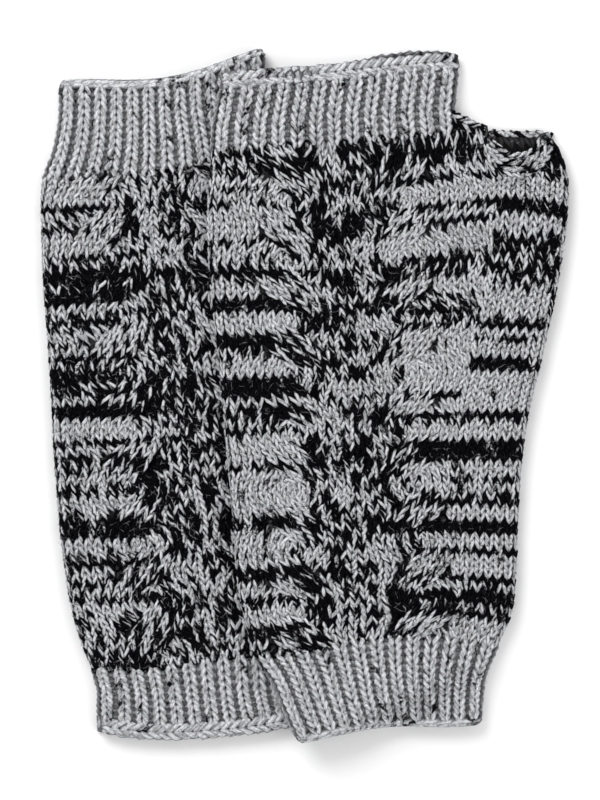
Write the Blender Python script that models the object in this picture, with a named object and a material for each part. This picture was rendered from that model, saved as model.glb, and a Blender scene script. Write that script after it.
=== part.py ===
"""A pair of fingerless knitted wool gloves, lying flat with one over the other.

Lengths in the tables are millimetres. Each glove is a flattened tube: an upper panel and an under panel
that meet in rounded folds. Its tables give the folds' places course by course, from the wrist to the fingers.
"""

import math
from collections import namedtuple

import bpy
import bmesh
import numpy as np

MM = 0.001
WALL = 2.6
LAYER = 6.4
FOLD_RADIUS = LAYER / 2
SEAM_GAP = 0.3
SEAM_COURSES = 0.11

RIB_COUNT = 13
RIB_CREST = 0.2
RIB_VALLEY = 0.8
CAST_ON_COURSES = 1.0
RIB_FULL_COURSE = 2.2
RIB_FADE_START = 0.4
RIB_FADE = 1.4

CABLE_RISE = 1.2
CABLE_HALF_WIDTH = 11.5
CABLE_COURSES = 8
CABLE_END_COURSES = 4
STRAND_SWING = 0.62
STRAND_HALF_WIDTH = 0.42
RESTING_PLACE = 0.5
RESTING_HALF_WIDTH = 0.34
RESTING_RISE = 0.55
CABLE_REACH = 1.25

EDGE_GAP = 0.6
EDGE_HALF_LENGTH = 2.3
EDGE_HALF_THICKNESS = 1.5

RIB_SHARE = 0.719
CROTCH_SHARE = 0.792
CROTCH_GAP = 0.4
CROTCH_DEPTH = 8.0
CROTCH_RISE = 5.8
CROTCH_CORNER_RISE = 5.2
CROTCH_CORNER = 1.6
CROTCH_END_RISE = 0.9
CROTCH_INSET = 0.5
THUMB_HALF_WIDTH = 1.15
THUMB_ARC_EXTRA = 1.15
THUMB_HALF_THICKNESS = 1.25
THUMB_LIP_SHIFT = 0.6
THUMB_LEVEL = 1.85
THUMB_CLIMB = 2.5
MOUTH_DEPTH = 2.2
MOUTH_REACH = 14.0
NOTCH_MARGIN_X = 1.8
NOTCH_MARGIN_Y = 2.9
NOTCH_SIDES = 28

BODY_START = 13
BODY_END = 82
FINGER_END = 90
DRAPE_HEIGHT = LAYER + 0.45
DRAPE_START = 3.0
DRAPE_RUN = 22.0

Station = namedtuple(
    "Station",
    "course left_x left_y right_x right_y upper_25 upper_50 upper_75 under_25 under_50 under_75"
    " cable_left cable_right",
)
Mitt = namedtuple("Mitt", "name way hand fingers thumb covered cable_phase")
Thumb = namedtuple("Thumb", "x y half_x half_y")
Place = namedtuple("Place", "y x")

UPPER_HAND = (
    Station(0, -1.8, -110.9, 56.5, -104.9, 1.6, 1.9, 0.3, 2.0, 2.4, 0.9, 0.18, 0.68),
    Station(4, -6.0, -101.5, 57.0, -96.5, 1.0, 2.0, 1.0, 1.0, 2.0, 1.0, 0.18, 0.68),
    Station(9, -11.0, -90.0, 58.5, -88.5, 1.5, 3.2, 2.6, 1.5, 3.2, 2.6, 0.18, 0.68),
    Station(13, -16.0, -83.0, 62.2, -80.0, 2.1, 4.8, 4.6, 2.1, 4.8, 4.6, 0.18, 0.68),
    Station(17, -18.5, -73.5, 66.4, -70.5, 2.0, 4.0, 3.5, 2.0, 4.0, 3.5, 0.18, 0.68),
    Station(22, -21.0, -62.0, 67.9, -58.5, 1.5, 3.0, 2.5, 1.5, 3.0, 2.5, 0.19, 0.67),
    Station(30, -22.5, -43.0, 68.5, -40.0, 1.0, 2.0, 1.5, 1.0, 2.0, 1.5, 0.21, 0.65),
    Station(42, -25.0, -15.0, 71.0, -11.0, 0.5, 1.0, 0.5, 0.5, 1.0, 0.5, 0.22, 0.63),
    Station(54, -27.5, 13.0, 76.8, 14.5, 0.5, 1.0, 1.0, 0.5, 1.0, 1.0, 0.22, 0.59),
    Station(66, -30.5, 40.5, 82.5, 42.5, 0.0, 0.5, 1.5, 0.0, 0.5, 1.5, 0.22, 0.555),
    Station(74, -31.0, 59.5, 84.5, 61.0, 0.0, 0.0, 3.0, 0.0, 0.0, 3.0, 0.22, 0.545),
    Station(79, -30.0, 71.5, 83.8, 73.0, 0.0, 0.5, 2.6, 0.0, 0.5, 2.6, 0.22, 0.54),
    Station(82, -29.5, 78.0, 79.2, 84.5, 0.5, 1.1, 2.2, 0.5, 1.1, 2.2, 0.22, 0.54),
)
UPPER_FINGERS = (
    Station(85.5, -29.0, 85.5, 47.7, 92.0, 0.4, 0.8, 0.9, 0.9, 1.1, 2.0, 0, 0),
    Station(90, -27.0, 97.0, 49.0, 103.9, 0.0, 0.3, 0.1, 0.4, 0.7, 3.2, 0, 0),
)
LOWER_HAND = (
    Station(0, -78.3, 100.6, -13.4, 111.2, 3.0, 5.0, 3.3, 2.1, 4.1, 2.6, 0.22, 0.61),
    Station(5, -78.6, 88.0, -12.0, 98.0, 2.2, 3.4, 2.0, 2.2, 3.4, 2.0, 0.22, 0.61),
    Station(9, -80.5, 78.0, -8.5, 88.5, 2.0, 2.5, 1.5, 2.0, 2.5, 1.5, 0.22, 0.61),
    Station(13, -84.0, 68.5, -4.5, 79.0, 2.0, 2.5, 1.5, 2.0, 2.5, 1.5, 0.22, 0.61),
    Station(18, -84.5, 57.5, -2.0, 67.0, 1.5, 2.0, 1.0, 1.5, 2.0, 1.0, 0.22, 0.61),
    Station(24, -84.1, 43.5, 0.0, 53.0, 1.0, 1.0, 0.5, 1.0, 1.0, 0.5, 0.23, 0.61),
    Station(42, -81.5, 3.0, 10.5, 9.5, 1.0, 1.0, 0.5, 1.0, 1.0, 0.5, 0.245, 0.59),
    Station(54, -80.0, -24.5, 18.5, -19.0, 0.5, 0.0, 0.0, 0.5, 0.0, 0.0, 0.24, 0.57),
    Station(66, -77.5, -51.5, 29.5, -48.0, 0.0, -1.0, -0.5, 0.0, -1.0, -0.5, 0.23, 0.55),
    Station(74, -74.5, -69.5, 35.5, -67.0, 0.0, -2.0, -1.0, 0.0, -2.0, -1.0, 0.22, 0.54),
    Station(79, -71.0, -81.0, 36.5, -78.5, 0.0, -2.6, -1.6, 0.0, -2.6, -1.6, 0.22, 0.54),
    Station(82, -68.0, -87.5, 33.0, -86.0, 0.0, -2.9, -2.0, 0.0, -2.9, -2.0, 0.22, 0.54),
)
LOWER_FINGERS = (
    Station(86, -66.0, -95.0, 4.7, -93.0, 1.6, 1.8, 1.4, 1.6, 1.8, 1.4, 0, 0),
    Station(90, -66.2, -102.4, 6.8, -97.6, 3.9, 4.5, 3.6, 3.4, 4.0, 3.0, 0, 0),
)
UPPER = Mitt("upper", 1, UPPER_HAND, UPPER_FINGERS, Thumb(68.4, 82.9, 9.9, 9.4), False, 3.0)
LOWER = Mitt("lower", -1, LOWER_HAND, LOWER_FINGERS, Thumb(23.6, -84.6, 8.4, 7.0), True, 1.0)

# The fold that the upper glove drapes over: the lower glove's hidden right edge, from top to bottom.
HIDDEN_EDGE = (
    Place(125.0, -13.0),
    Place(104.0, -12.0),
    Place(88.0, -7.5),
    Place(64.0, -0.5),
    Place(40.0, 4.0),
    Place(9.0, 11.5),
    Place(-19.0, 19.5),
    Place(-48.0, 30.5),
    Place(-67.0, 36.5),
    Place(-91.0, 37.0),
    Place(-105.0, 12.0),
    Place(-125.0, 8.5),
)

# The upper glove's left fold, past which the lower glove is hidden and left plain.
UPPER_FOLD = (
    Place(110.0, -27.0),
    Place(60.0, -31.0),
    Place(-15.0, -25.0),
    Place(-62.0, -21.0),
    Place(-115.0, 0.0),
)
RELIEF_STOP = 0.5
RELIEF_FADE = 3.0

# Mesh resolution. The ramp's limits are shares of the glove's width.
TOP_COLUMNS = 30
RIB_STEPS = 4
FOLD_CLEARANCE = 0.4
RAMP_SAMPLE_SHARE = 0.4
RAMP_FROM_LEFT = 0.06
RAMP_LEAST = 0.05
RAMP_START_FROM_RIGHT = 0.30
RAMP_END_FROM_RIGHT = 0.10
BODY_ROWS = 27
RIB_ROWS = 4
FOLD_STEPS = 4
UNDER_SIDE_COLUMNS = 3
RAMP_COLUMNS = 6
EDGE_STEPS = 6
EDGE_COLUMNS = 20
EDGE_FIRST_SHARE = 0.05
EDGE_TURNS = (45, 0, -45)
THUMB_EDGE_COLUMNS = 28

STYLE = {
    "hand": (0.17, 0.17, 0.18),
    "wrist_rib": (0.36, 0.36, 0.38),
    "finger_rib": (0.34, 0.34, 0.36),
    "finger_edge": (0.40, 0.40, 0.42),
    "thumb_edge": (0.24, 0.24, 0.25),
}


def smooth(xs, ys, at):
    """Value at one place of the smooth curve through the given points."""
    xs = np.asarray(xs, float)
    ys = np.asarray(ys, float)
    slopes = np.gradient(ys, xs)
    i = int(np.clip(np.searchsorted(xs, at) - 1, 0, len(xs) - 2))
    step = xs[i + 1] - xs[i]
    t = float(np.clip((at - xs[i]) / step, 0, 1))
    rise = (1 + 2 * t) * (1 - t) ** 2 * ys[i] + t * t * (3 - 2 * t) * ys[i + 1]
    return rise + step * t * (1 - t) * ((1 - t) * slopes[i] - t * slopes[i + 1])


def ease(t):
    t = min(max(t, 0.0), 1.0)
    return t * t * (3 - 2 * t)


def station_at(rows, course):
    courses = [row.course for row in rows]
    return Station(*(smooth(courses, column, course) for column in zip(*rows)))


def bow(share, quarter, half, three_quarter):
    """A smooth curve that is nil at both folds and has the given values at the quarters between."""
    s = share
    at_quarter = s * (s - 0.5) * (s - 0.75) * (s - 1) / (0.25 * -0.25 * -0.5 * -0.75)
    at_half = s * (s - 0.25) * (s - 0.75) * (s - 1) / (0.5 * 0.25 * -0.25 * -0.5)
    at_three_quarter = s * (s - 0.25) * (s - 0.5) * (s - 1) / (0.75 * 0.5 * 0.25 * -0.25)
    return quarter * at_quarter + half * at_half + three_quarter * at_three_quarter


class Line:
    """One course of a glove in plan: its two folds, and how each panel bows between them."""

    def __init__(self, station, way):
        self.station = station
        self.left = np.array((station.left_x, station.left_y))
        self.right = np.array((station.right_x, station.right_y))
        self.width = float(np.linalg.norm(self.right - self.left))
        across = (self.right - self.left) / self.width
        self.across = across
        self.ahead = way * np.array((-across[1], across[0]))

    def place(self, share, rise):
        """Plan place a share of the way across. Rise is 1 on the upper panel and 0 on the under one."""
        row = self.station
        upper = bow(share, row.upper_25, row.upper_50, row.upper_75)
        under = bow(share, row.under_25, row.under_50, row.under_75)
        return self.left + share * (self.right - self.left) + (rise * upper + (1 - rise) * under) * self.ahead


class PartLine:
    """The part of a hand's last course that the finger rib grows from, moved on by the seam gap."""

    def __init__(self, line, share, gap):
        self.line = line
        self.part = share
        self.gap = gap
        self.width = line.width * share
        self.across = line.across
        self.ahead = line.ahead

    def place(self, share, rise):
        return self.line.place(share * self.part, rise) + self.gap * self.ahead


class BetweenLines:
    """A course between two others, the given part of the way from one to the next."""

    def __init__(self, first, last, part):
        self.first = first
        self.last = last
        self.part = part
        self.width = first.width + part * (last.width - first.width)
        self.across = first.across + part * (last.across - first.across)
        self.ahead = first.ahead + part * (last.ahead - first.ahead)

    def place(self, share, rise):
        start = self.first.place(share, rise)
        return start + self.part * (self.last.place(share, rise) - start)


def hand_line(mitt, course):
    return Line(station_at(mitt.hand, course), mitt.way)


def finger_line(mitt, course):
    """The finger rib's courses, from the hand's last one through the two rows of its own table."""
    start = PartLine(hand_line(mitt, BODY_END), RIB_SHARE, SEAM_GAP)
    middle, end = (Line(row, mitt.way) for row in mitt.fingers)
    break_course = mitt.fingers[0].course
    if course <= break_course:
        return BetweenLines(start, middle, (course - BODY_END) / (break_course - BODY_END))
    return BetweenLines(middle, end, (course - break_course) / (FINGER_END - break_course))


def edge_x(places, y):
    """Where the given edge runs at this height of the plan. Its places are listed from top to bottom."""
    rows = places[::-1]
    return smooth([row.y for row in rows], [row.x for row in rows], y)


def lift(mitt, x, y):
    """Height of the surface that this glove lies on: the floor, or the glove below it."""
    if mitt.covered:
        return 0.0
    run = (x - (edge_x(HIDDEN_EDGE, y) - DRAPE_START)) / DRAPE_RUN
    return DRAPE_HEIGHT * (1 - ease(run))


def shown(mitt, x, y):
    """1 where the glove shows, falling to 0 where the other one lies over it."""
    if not mitt.covered:
        return 1.0
    return ease((edge_x(UPPER_FOLD, y) - x - RELIEF_STOP) / RELIEF_FADE)


def rib_relief(share, band):
    """Height of a knit rib over the wall's mean face. It fades out on the cast-on band at the rim."""
    wave = 0.5 - 0.5 * math.cos(2 * math.pi * RIB_COUNT * share)
    return band * (RIB_CREST * wave - RIB_VALLEY * (1 - wave))


def cable_relief(mitt, line, course, share):
    """Height of the two crossed cables that run up the glove's back, leaning towards each other."""
    row = line.station
    height = 0.0
    for centre, side in ((row.cable_left, 1), (row.cable_right, -1)):
        across = side * (share - centre) * line.width / CABLE_HALF_WIDTH
        if abs(across) > CABLE_REACH:
            continue
        turn = (course - mitt.cable_phase) / CABLE_COURSES
        turn -= math.floor(turn)
        front = STRAND_SWING * math.cos(math.pi * turn)
        crossing = math.sin(math.pi * turn) ** 2
        strand = math.exp(-(((across - front) / STRAND_HALF_WIDTH) ** 2))
        rest = math.exp(-(((abs(across) - RESTING_PLACE) / RESTING_HALF_WIDTH) ** 2))
        height += CABLE_RISE * (crossing * strand + RESTING_RISE * (1 - crossing) * rest)
    ends = min(course - BODY_START, BODY_END - course) / CABLE_END_COURSES
    return height * ease(ends)


def ramp_shares(mitt, line):
    """Shares at which the under panel and the inside have columns: closest over the lower glove's edge."""
    first = (FOLD_RADIUS + FOLD_CLEARANCE) / line.width
    last = 1 - first
    if mitt.covered:
        count = 2 * UNDER_SIDE_COLUMNS + RAMP_COLUMNS
        return list(np.linspace(first, last, count))
    middle_y = line.place(RAMP_SAMPLE_SHARE, 0)[1]
    start = edge_x(HIDDEN_EDGE, middle_y) - DRAPE_START
    ramp_first = (start - line.place(0, 0)[0]) / (line.width * line.across[0])
    ramp_last = ramp_first + DRAPE_RUN / line.width
    ramp_first = min(max(ramp_first, first + RAMP_FROM_LEFT), last - RAMP_START_FROM_RIGHT)
    ramp_last = min(max(ramp_last, ramp_first + RAMP_LEAST), last - RAMP_END_FROM_RIGHT)
    before = np.linspace(first, ramp_first, UNDER_SIDE_COLUMNS, endpoint=False)
    ramp = np.linspace(ramp_first, ramp_last, RAMP_COLUMNS)
    after = np.linspace(ramp_last, last, UNDER_SIDE_COLUMNS + 1)[1:]
    return list(before) + list(ramp) + list(after)


def fold_points():
    """One rounded fold from bottom to top, as pairs of distance in from the glove's edge and height."""
    turns = np.radians(np.linspace(-90, 90, 2 * FOLD_STEPS + 1)[1:-1])
    return [(FOLD_RADIUS * (1 - math.cos(turn)), FOLD_RADIUS * (1 + math.sin(turn))) for turn in turns]


def outer_ring(mitt, line, relief, columns):
    """The outside of one course, round from the left fold over the top and back under it."""
    ring = []
    width = line.width
    folds = fold_points()
    middle = len(folds) // 2

    def add(distance, height, rise, extra=0.0):
        x, y = line.place(distance / width, rise)
        ring.append((x, y, lift(mitt, x, y) + height + extra * shown(mitt, x, y)))

    for distance, height in folds[middle:]:
        add(distance, height, height / LAYER)
    for share in columns:
        distance = FOLD_RADIUS + share * (width - 2 * FOLD_RADIUS)
        add(distance, LAYER, 1.0, relief(distance / width))
    for distance, height in folds[::-1]:
        add(width - distance, height, height / LAYER)
    for share in ramp_shares(mitt, line)[::-1]:
        add(share * width, 0.0, 0.0)
    for distance, height in folds[:middle]:
        add(distance, height, height / LAYER)
    return ring


def inner_ring(mitt, line):
    """The plain inside of one course, in the same order as the outside."""
    ring = []
    width = line.width
    radius = FOLD_RADIUS - WALL
    shares = ramp_shares(mitt, line)

    def add(distance, height, rise):
        x, y = line.place(distance / width, rise)
        ring.append((x, y, lift(mitt, x, y) + height))

    add(WALL, FOLD_RADIUS, 0.5)
    for share in shares:
        add(share * width, FOLD_RADIUS + radius, 1.0)
    add(width - WALL, FOLD_RADIUS, 0.5)
    for share in shares[::-1]:
        add(share * width, FOLD_RADIUS - radius, 0.0)
    return ring


def zip_rows(first, last):
    """Triangles between two rows of numbered points of unlike counts."""
    faces = []
    i = 0
    j = 0
    while i < len(first) - 1 or j < len(last) - 1:
        next_first = (i + 1) / (len(first) - 1)
        next_last = (j + 1) / (len(last) - 1)
        if j == len(last) - 1 or (i < len(first) - 1 and next_first <= next_last):
            faces.append((first[i], first[i + 1], last[j]))
            i += 1
        else:
            faces.append((first[i], last[j + 1], last[j]))
            j += 1
    return faces


def half_rings(start, count, half):
    """The numbers of a ring's upper half and of its under half, each with both end points."""
    upper = [start + i for i in range(half + 1)]
    under = [start + i % count for i in range(half, count + 1)]
    return upper, under


def loft_tube(name, outer, inner, outer_half, inner_half):
    """A closed wall between the outside rings and the inside rings, with a flat rim at each end."""
    outer_count = len(outer[0])
    inner_count = len(inner[0])
    points = [point for ring in outer for point in ring] + [point for ring in inner for point in ring]
    inner_start = len(outer) * outer_count
    faces = []
    for start, rings, count in ((0, outer, outer_count), (inner_start, inner, inner_count)):
        for row in range(len(rings) - 1):
            for i in range(count):
                a = start + row * count + i
                b = start + row * count + (i + 1) % count
                quad = (a, b, b + count, a + count)
                faces.append(quad if start == 0 else quad[::-1])
    ends = ((0, 0, 1), (len(outer) - 1, len(inner) - 1, -1))
    for outer_row, inner_row, turn in ends:
        outer_parts = half_rings(outer_row * outer_count, outer_count, outer_half)
        inner_parts = half_rings(inner_start + inner_row * inner_count, inner_count, inner_half)
        for outer_part, inner_part in zip(outer_parts, inner_parts):
            faces += [face[::-turn] for face in zip_rows(outer_part, inner_part)]
    return mesh_object(name, points, faces)


def mesh_object(name, points, faces):
    mesh = bpy.data.meshes.new(name)
    mesh.from_pydata([tuple(value * MM for value in point) for point in points], [], faces)
    edit = bmesh.new()
    edit.from_mesh(mesh)
    bmesh.ops.recalc_face_normals(edit, faces=edit.faces)
    for face in edit.faces:
        face.smooth = True
    edit.to_mesh(mesh)
    edit.free()
    return bpy.data.objects.new(name, mesh)


def even_columns(count):
    return list(np.linspace(0, 1, count))


def tube(name, mitt, courses, line_of, relief_of, columns):
    """A stretch of the glove between the first and last of the given courses."""
    outer = []
    inner = []
    for course in courses:
        line = line_of(mitt, course)
        outer.append(outer_ring(mitt, line, relief_of(line, course), columns))
        inner.append(inner_ring(mitt, line))
    outer_half = FOLD_STEPS + len(columns) + FOLD_STEPS - 1
    inner_half = (len(inner[0]) - 2) // 2 + 1
    return loft_tube(name, outer, inner, outer_half, inner_half)


def make_wrist_rib(mitt):
    courses = [0.0, CAST_ON_COURSES] + list(np.linspace(RIB_FULL_COURSE, BODY_START - SEAM_COURSES, RIB_ROWS))

    def relief_of(line, course):
        band = ease((course - RIB_FADE_START) / RIB_FADE)
        return lambda share: rib_relief(share, band)

    columns = even_columns(RIB_COUNT * RIB_STEPS + 1)
    return tube(mitt.name + "_wrist_rib", mitt, courses, hand_line, relief_of, columns)


def make_finger_rib(mitt):
    courses = list(np.linspace(BODY_END, FINGER_END, RIB_ROWS))

    def relief_of(line, course):
        return lambda share: rib_relief(share, 1.0)

    columns = even_columns(RIB_COUNT * RIB_STEPS + 1)
    return tube(mitt.name + "_finger_rib", mitt, courses, finger_line, relief_of, columns)


def make_hand(mitt, parts, cutters):
    """The hand's tube, closed at the thumb's crotch and cut open for the thumb."""
    courses = list(np.linspace(BODY_START + SEAM_COURSES, BODY_END - SEAM_COURSES, BODY_ROWS))

    def relief_of(line, course):
        return lambda share: cable_relief(mitt, line, course, share)

    hand = tube(mitt.name + "_hand", mitt, courses, hand_line, relief_of, even_columns(TOP_COLUMNS))
    parts.objects.link(hand)
    add_boolean(hand, "crotch", "UNION", make_crotch(mitt, cutters))
    add_boolean(hand, "thumb_mouth", "DIFFERENCE", make_thumb_mouth(mitt, cutters))
    add_boolean(hand, "thumb_notch", "DIFFERENCE", make_thumb_notch(mitt, cutters))
    return hand


def add_boolean(obj, name, operation, other):
    modifier = obj.modifiers.new(name, "BOOLEAN")
    modifier.operation = operation
    modifier.solver = "EXACT"
    modifier.object = other


def make_crotch(mitt, cutters):
    """The web between thumb and fingers: a wedge whose slant runs from the finger rib's side to the thumb."""
    end = hand_line(mitt, BODY_END)
    rib_side = end.place(RIB_SHARE, 0.5) + CROTCH_GAP * end.across
    thumb_side = end.place(CROTCH_SHARE, 0.5)
    outline = (
        rib_side - CROTCH_DEPTH * end.ahead,
        rib_side + CROTCH_RISE * end.ahead,
        rib_side + CROTCH_CORNER * end.across + CROTCH_CORNER_RISE * end.ahead,
        thumb_side + CROTCH_END_RISE * end.ahead,
        thumb_side - CROTCH_DEPTH * end.ahead,
    )
    heights = (CROTCH_INSET, LAYER - CROTCH_INSET)
    points = [(x, y, height) for height in heights for x, y in outline]
    count = len(outline)
    faces = [tuple(range(count)), tuple(range(count, 2 * count))]
    faces += [(i, (i + 1) % count, count + (i + 1) % count, count + i) for i in range(count)]
    web = mesh_object(mitt.name + "_crotch_web", points, faces)
    hide_helper(web, cutters)
    return web


def make_thumb_mouth(mitt, cutters):
    """Cuts both walls square, just short of the thumb's edge."""
    end = hand_line(mitt, BODY_END)
    left = end.place(CROTCH_SHARE, 0.5)[0] + SEAM_GAP
    right = mitt.thumb.x + mitt.thumb.half_x + MOUTH_REACH
    near = mitt.thumb.y - mitt.way * MOUTH_DEPTH
    far = mitt.thumb.y + mitt.way * MOUTH_REACH
    bpy.ops.mesh.primitive_cube_add(size=1)
    block = bpy.context.object
    block.name = mitt.name + "_thumb_mouth"
    block.scale = ((right - left) * MM, abs(far - near) * MM, 4 * LAYER * MM)
    block.location = ((left + right) / 2 * MM, (near + far) / 2 * MM, LAYER / 2 * MM)
    hide_helper(block, cutters)
    return block


def make_thumb_notch(mitt, cutters):
    """Cuts the dip of the thumb's opening through the upper wall only."""
    bpy.ops.mesh.primitive_cylinder_add(vertices=NOTCH_SIDES, radius=1, depth=1)
    notch = bpy.context.object
    notch.name = mitt.name + "_thumb_notch"
    half_x = mitt.thumb.half_x + NOTCH_MARGIN_X
    half_y = mitt.thumb.half_y + NOTCH_MARGIN_Y
    notch.scale = (half_x * MM, half_y * MM, 2 * LAYER * MM)
    notch.location = (mitt.thumb.x * MM, mitt.thumb.y * MM, 1.5 * LAYER * MM)
    hide_helper(notch, cutters)
    return notch


def hide_helper(obj, cutters):
    for collection in list(obj.users_collection):
        collection.objects.unlink(obj)
    cutters.objects.link(obj)
    obj.hide_render = True
    obj.display_type = "WIRE"


def sweep(name, path):
    """A closed roll along a loop. Each row of the path is a centre and the roll's two half axes there."""
    points = []
    for centre, half_ahead, ahead, half_out, out in path:
        for step in range(EDGE_STEPS):
            turn = 2 * math.pi * step / EDGE_STEPS
            points.append(centre + math.cos(turn) * half_ahead * ahead + math.sin(turn) * half_out * out)
    faces = []
    rows = len(path)
    for row in range(rows):
        for step in range(EDGE_STEPS):
            a = row * EDGE_STEPS + step
            b = row * EDGE_STEPS + (step + 1) % EDGE_STEPS
            c = (row + 1) % rows * EDGE_STEPS + (step + 1) % EDGE_STEPS
            d = (row + 1) % rows * EDGE_STEPS + step
            faces.append((a, b, c, d))
    return mesh_object(name, points, faces)


def fold_rise(angle):
    return 0.5 + 0.5 * math.sin(math.radians(angle))


def make_finger_edge(mitt):
    """The rolled bind-off along the finger opening: one closed roll round both panels."""
    line = finger_line(mitt, FINGER_END)
    width = line.width
    inset = EDGE_HALF_THICKNESS
    turn_radius = FOLD_RADIUS - inset
    shares = np.linspace(EDGE_FIRST_SHARE, 1 - EDGE_FIRST_SHARE, EDGE_COLUMNS)
    spots = [(share * width, LAYER - inset, 1.0, 90) for share in shares]
    for angle in EDGE_TURNS:
        reach = turn_radius * math.cos(math.radians(angle))
        height = FOLD_RADIUS + turn_radius * math.sin(math.radians(angle))
        spots.append((width - FOLD_RADIUS + reach, height, fold_rise(angle), angle))
    spots += [(share * width, inset, 0.0, -90) for share in ramp_shares(mitt, line)[::-1]]
    for angle in EDGE_TURNS[::-1]:
        reach = turn_radius * math.cos(math.radians(angle))
        height = FOLD_RADIUS + turn_radius * math.sin(math.radians(angle))
        spots.append((FOLD_RADIUS - reach, height, fold_rise(angle), 180 - angle))
    path = []
    for distance, height, rise, angle in spots:
        plan = line.place(distance / width, rise) + (EDGE_GAP + EDGE_HALF_LENGTH) * line.ahead
        centre = np.array((plan[0], plan[1], lift(mitt, *plan) + height))
        turn = math.radians(angle)
        out = np.array((*(math.cos(turn) * line.across), math.sin(turn)))
        ahead = np.array((*line.ahead, 0.0))
        path.append((centre, EDGE_HALF_LENGTH, ahead, inset, out))
    return sweep(mitt.name + "_finger_edge", path)


def make_thumb_edge(mitt):
    """The bound edge of the thumb's opening: an arc on the upper wall and a straight lip on the under one."""
    thumb = mitt.thumb
    up = np.array((0.0, 0.0, 1.0))
    path = []
    for step in range(THUMB_EDGE_COLUMNS):
        turn = 2 * math.pi * step / THUMB_EDGE_COLUMNS
        side = math.cos(turn)
        front = -math.sin(turn)
        dip = max(front, 0.0)
        lip = math.sqrt(max(-front, 0.0))
        x = thumb.x + thumb.half_x * side
        y = thumb.y - mitt.way * (thumb.half_y * dip - THUMB_LIP_SHIFT * lip)
        z = FOLD_RADIUS + THUMB_LEVEL * min(max(THUMB_CLIMB * front, -1.0), 1.0)
        flat_x = side / thumb.half_x
        flat_y = -front * mitt.way / thumb.half_y
        length = math.hypot(flat_x, flat_y)
        outwards = np.array((flat_x / length, flat_y / length, 0.0))
        half_width = THUMB_HALF_WIDTH + THUMB_ARC_EXTRA * dip * dip + lip
        path.append((np.array((x, y, z)), half_width, outwards, THUMB_HALF_THICKNESS, up))
    return sweep(mitt.name + "_thumb_edge", path)


def wool(kind):
    """A dull wool finish of the given piece's mean colour."""
    material = bpy.data.materials.new("wool_" + kind)
    material.use_nodes = True
    shader = material.node_tree.nodes["Principled BSDF"]
    shader.inputs["Base Color"].default_value = (*STYLE[kind], 1)
    shader.inputs["Roughness"].default_value = 0.9
    shader.inputs["Metallic"].default_value = 0
    return material


def new_collection(name):
    collection = bpy.data.collections.new(name)
    bpy.context.scene.collection.children.link(collection)
    return collection


def centre_parts(objects, helpers):
    """Moves everything so that the box round the pair stands on the origin."""
    points = np.array([obj.matrix_world @ vertex.co for obj in objects for vertex in obj.data.vertices])
    low = points.min(axis=0)
    high = points.max(axis=0)
    shift = ((low[0] + high[0]) / 2, (low[1] + high[1]) / 2, low[2])
    for obj in objects:
        for vertex in obj.data.vertices:
            vertex.co = [value - move for value, move in zip(vertex.co, shift)]
    for obj in helpers:
        obj.location = [value - move for value, move in zip(obj.location, shift)]
    print("moved by", [round(value / MM, 3) for value in shift])


def main():
    for obj in list(bpy.data.objects):
        bpy.data.objects.remove(obj, do_unlink=True)
    parts = new_collection("wool_gloves")
    cutters = new_collection("cutters")
    materials = {kind: wool(kind) for kind in STYLE}
    for mitt in (LOWER, UPPER):
        make_hand(mitt, parts, cutters)
        for make in (make_wrist_rib, make_finger_rib, make_finger_edge, make_thumb_edge):
            parts.objects.link(make(mitt))
    for obj in parts.objects:
        kind = obj.name.split("_", 1)[1]
        obj.data.materials.append(materials[kind])
    bpy.context.view_layer.update()
    centre_parts(list(parts.objects), list(cutters.objects))


main()
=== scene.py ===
"""Looks of a pair of fingerless knitted wool gloves that lie flat, one over the other, head to tail.

The tables' lengths are millimetres. Each glove is a flattened tube. Its tables give the places of its two
folds course by course, from the wrist to the fingers. Stitches, ribs and chain edges are loops of real yarn.
"""

import math
from collections import namedtuple

import bpy
import numpy as np
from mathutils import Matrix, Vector


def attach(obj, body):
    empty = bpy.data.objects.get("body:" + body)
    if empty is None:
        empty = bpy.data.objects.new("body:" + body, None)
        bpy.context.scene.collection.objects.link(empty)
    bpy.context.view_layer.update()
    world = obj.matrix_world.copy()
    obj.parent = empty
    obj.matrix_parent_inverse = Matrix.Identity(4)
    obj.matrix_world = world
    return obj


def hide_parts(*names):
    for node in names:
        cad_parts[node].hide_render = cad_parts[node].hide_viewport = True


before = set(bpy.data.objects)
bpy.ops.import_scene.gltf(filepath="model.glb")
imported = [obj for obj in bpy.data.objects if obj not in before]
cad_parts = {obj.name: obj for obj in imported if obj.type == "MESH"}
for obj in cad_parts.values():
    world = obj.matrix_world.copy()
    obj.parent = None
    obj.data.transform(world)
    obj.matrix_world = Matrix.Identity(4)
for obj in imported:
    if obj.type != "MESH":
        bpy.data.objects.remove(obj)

bl_info = {
    "name": "Knitted wool gloves",
    "version": (1, 0, 0),
    "blender": (4, 5, 0),
    "location": "View3D > Sidebar > Gloves",
    "description": "Knits a pair of fingerless gloves from loops of yarn over their solids",
    "category": "Add Mesh",
}

MM = 0.001

# The solids' own sizes.
WALL = 2.6
LAYER = 6.4
FOLD_RADIUS = LAYER / 2
QUARTER = math.pi / 2 * FOLD_RADIUS
SEAM_GAP = 0.3
RIB_COUNT = 13
CABLE_HALF_WIDTH = 11.5
CABLE_COURSES = 8
EDGE_GAP = 0.6
EDGE_HALF_LENGTH = 2.3
RIB_SHARE = 0.719
CROTCH_SHARE = 0.792
THUMB_LIP_SHIFT = 0.6
BODY_START = 13
BODY_END = 82
FINGER_END = 90
DRAPE_HEIGHT = LAYER + 0.45
DRAPE_START = 3.0
DRAPE_RUN = 22.0

# How much longer the way round a fold's quarter is than the plan distance that it covers.
TOP_START = (math.pi / 2 - 1) * FOLD_RADIUS

# How far the pair's middle lies from the tables' origin.
CENTRE_X = 0.112
CENTRE_Y = 0.15

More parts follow.
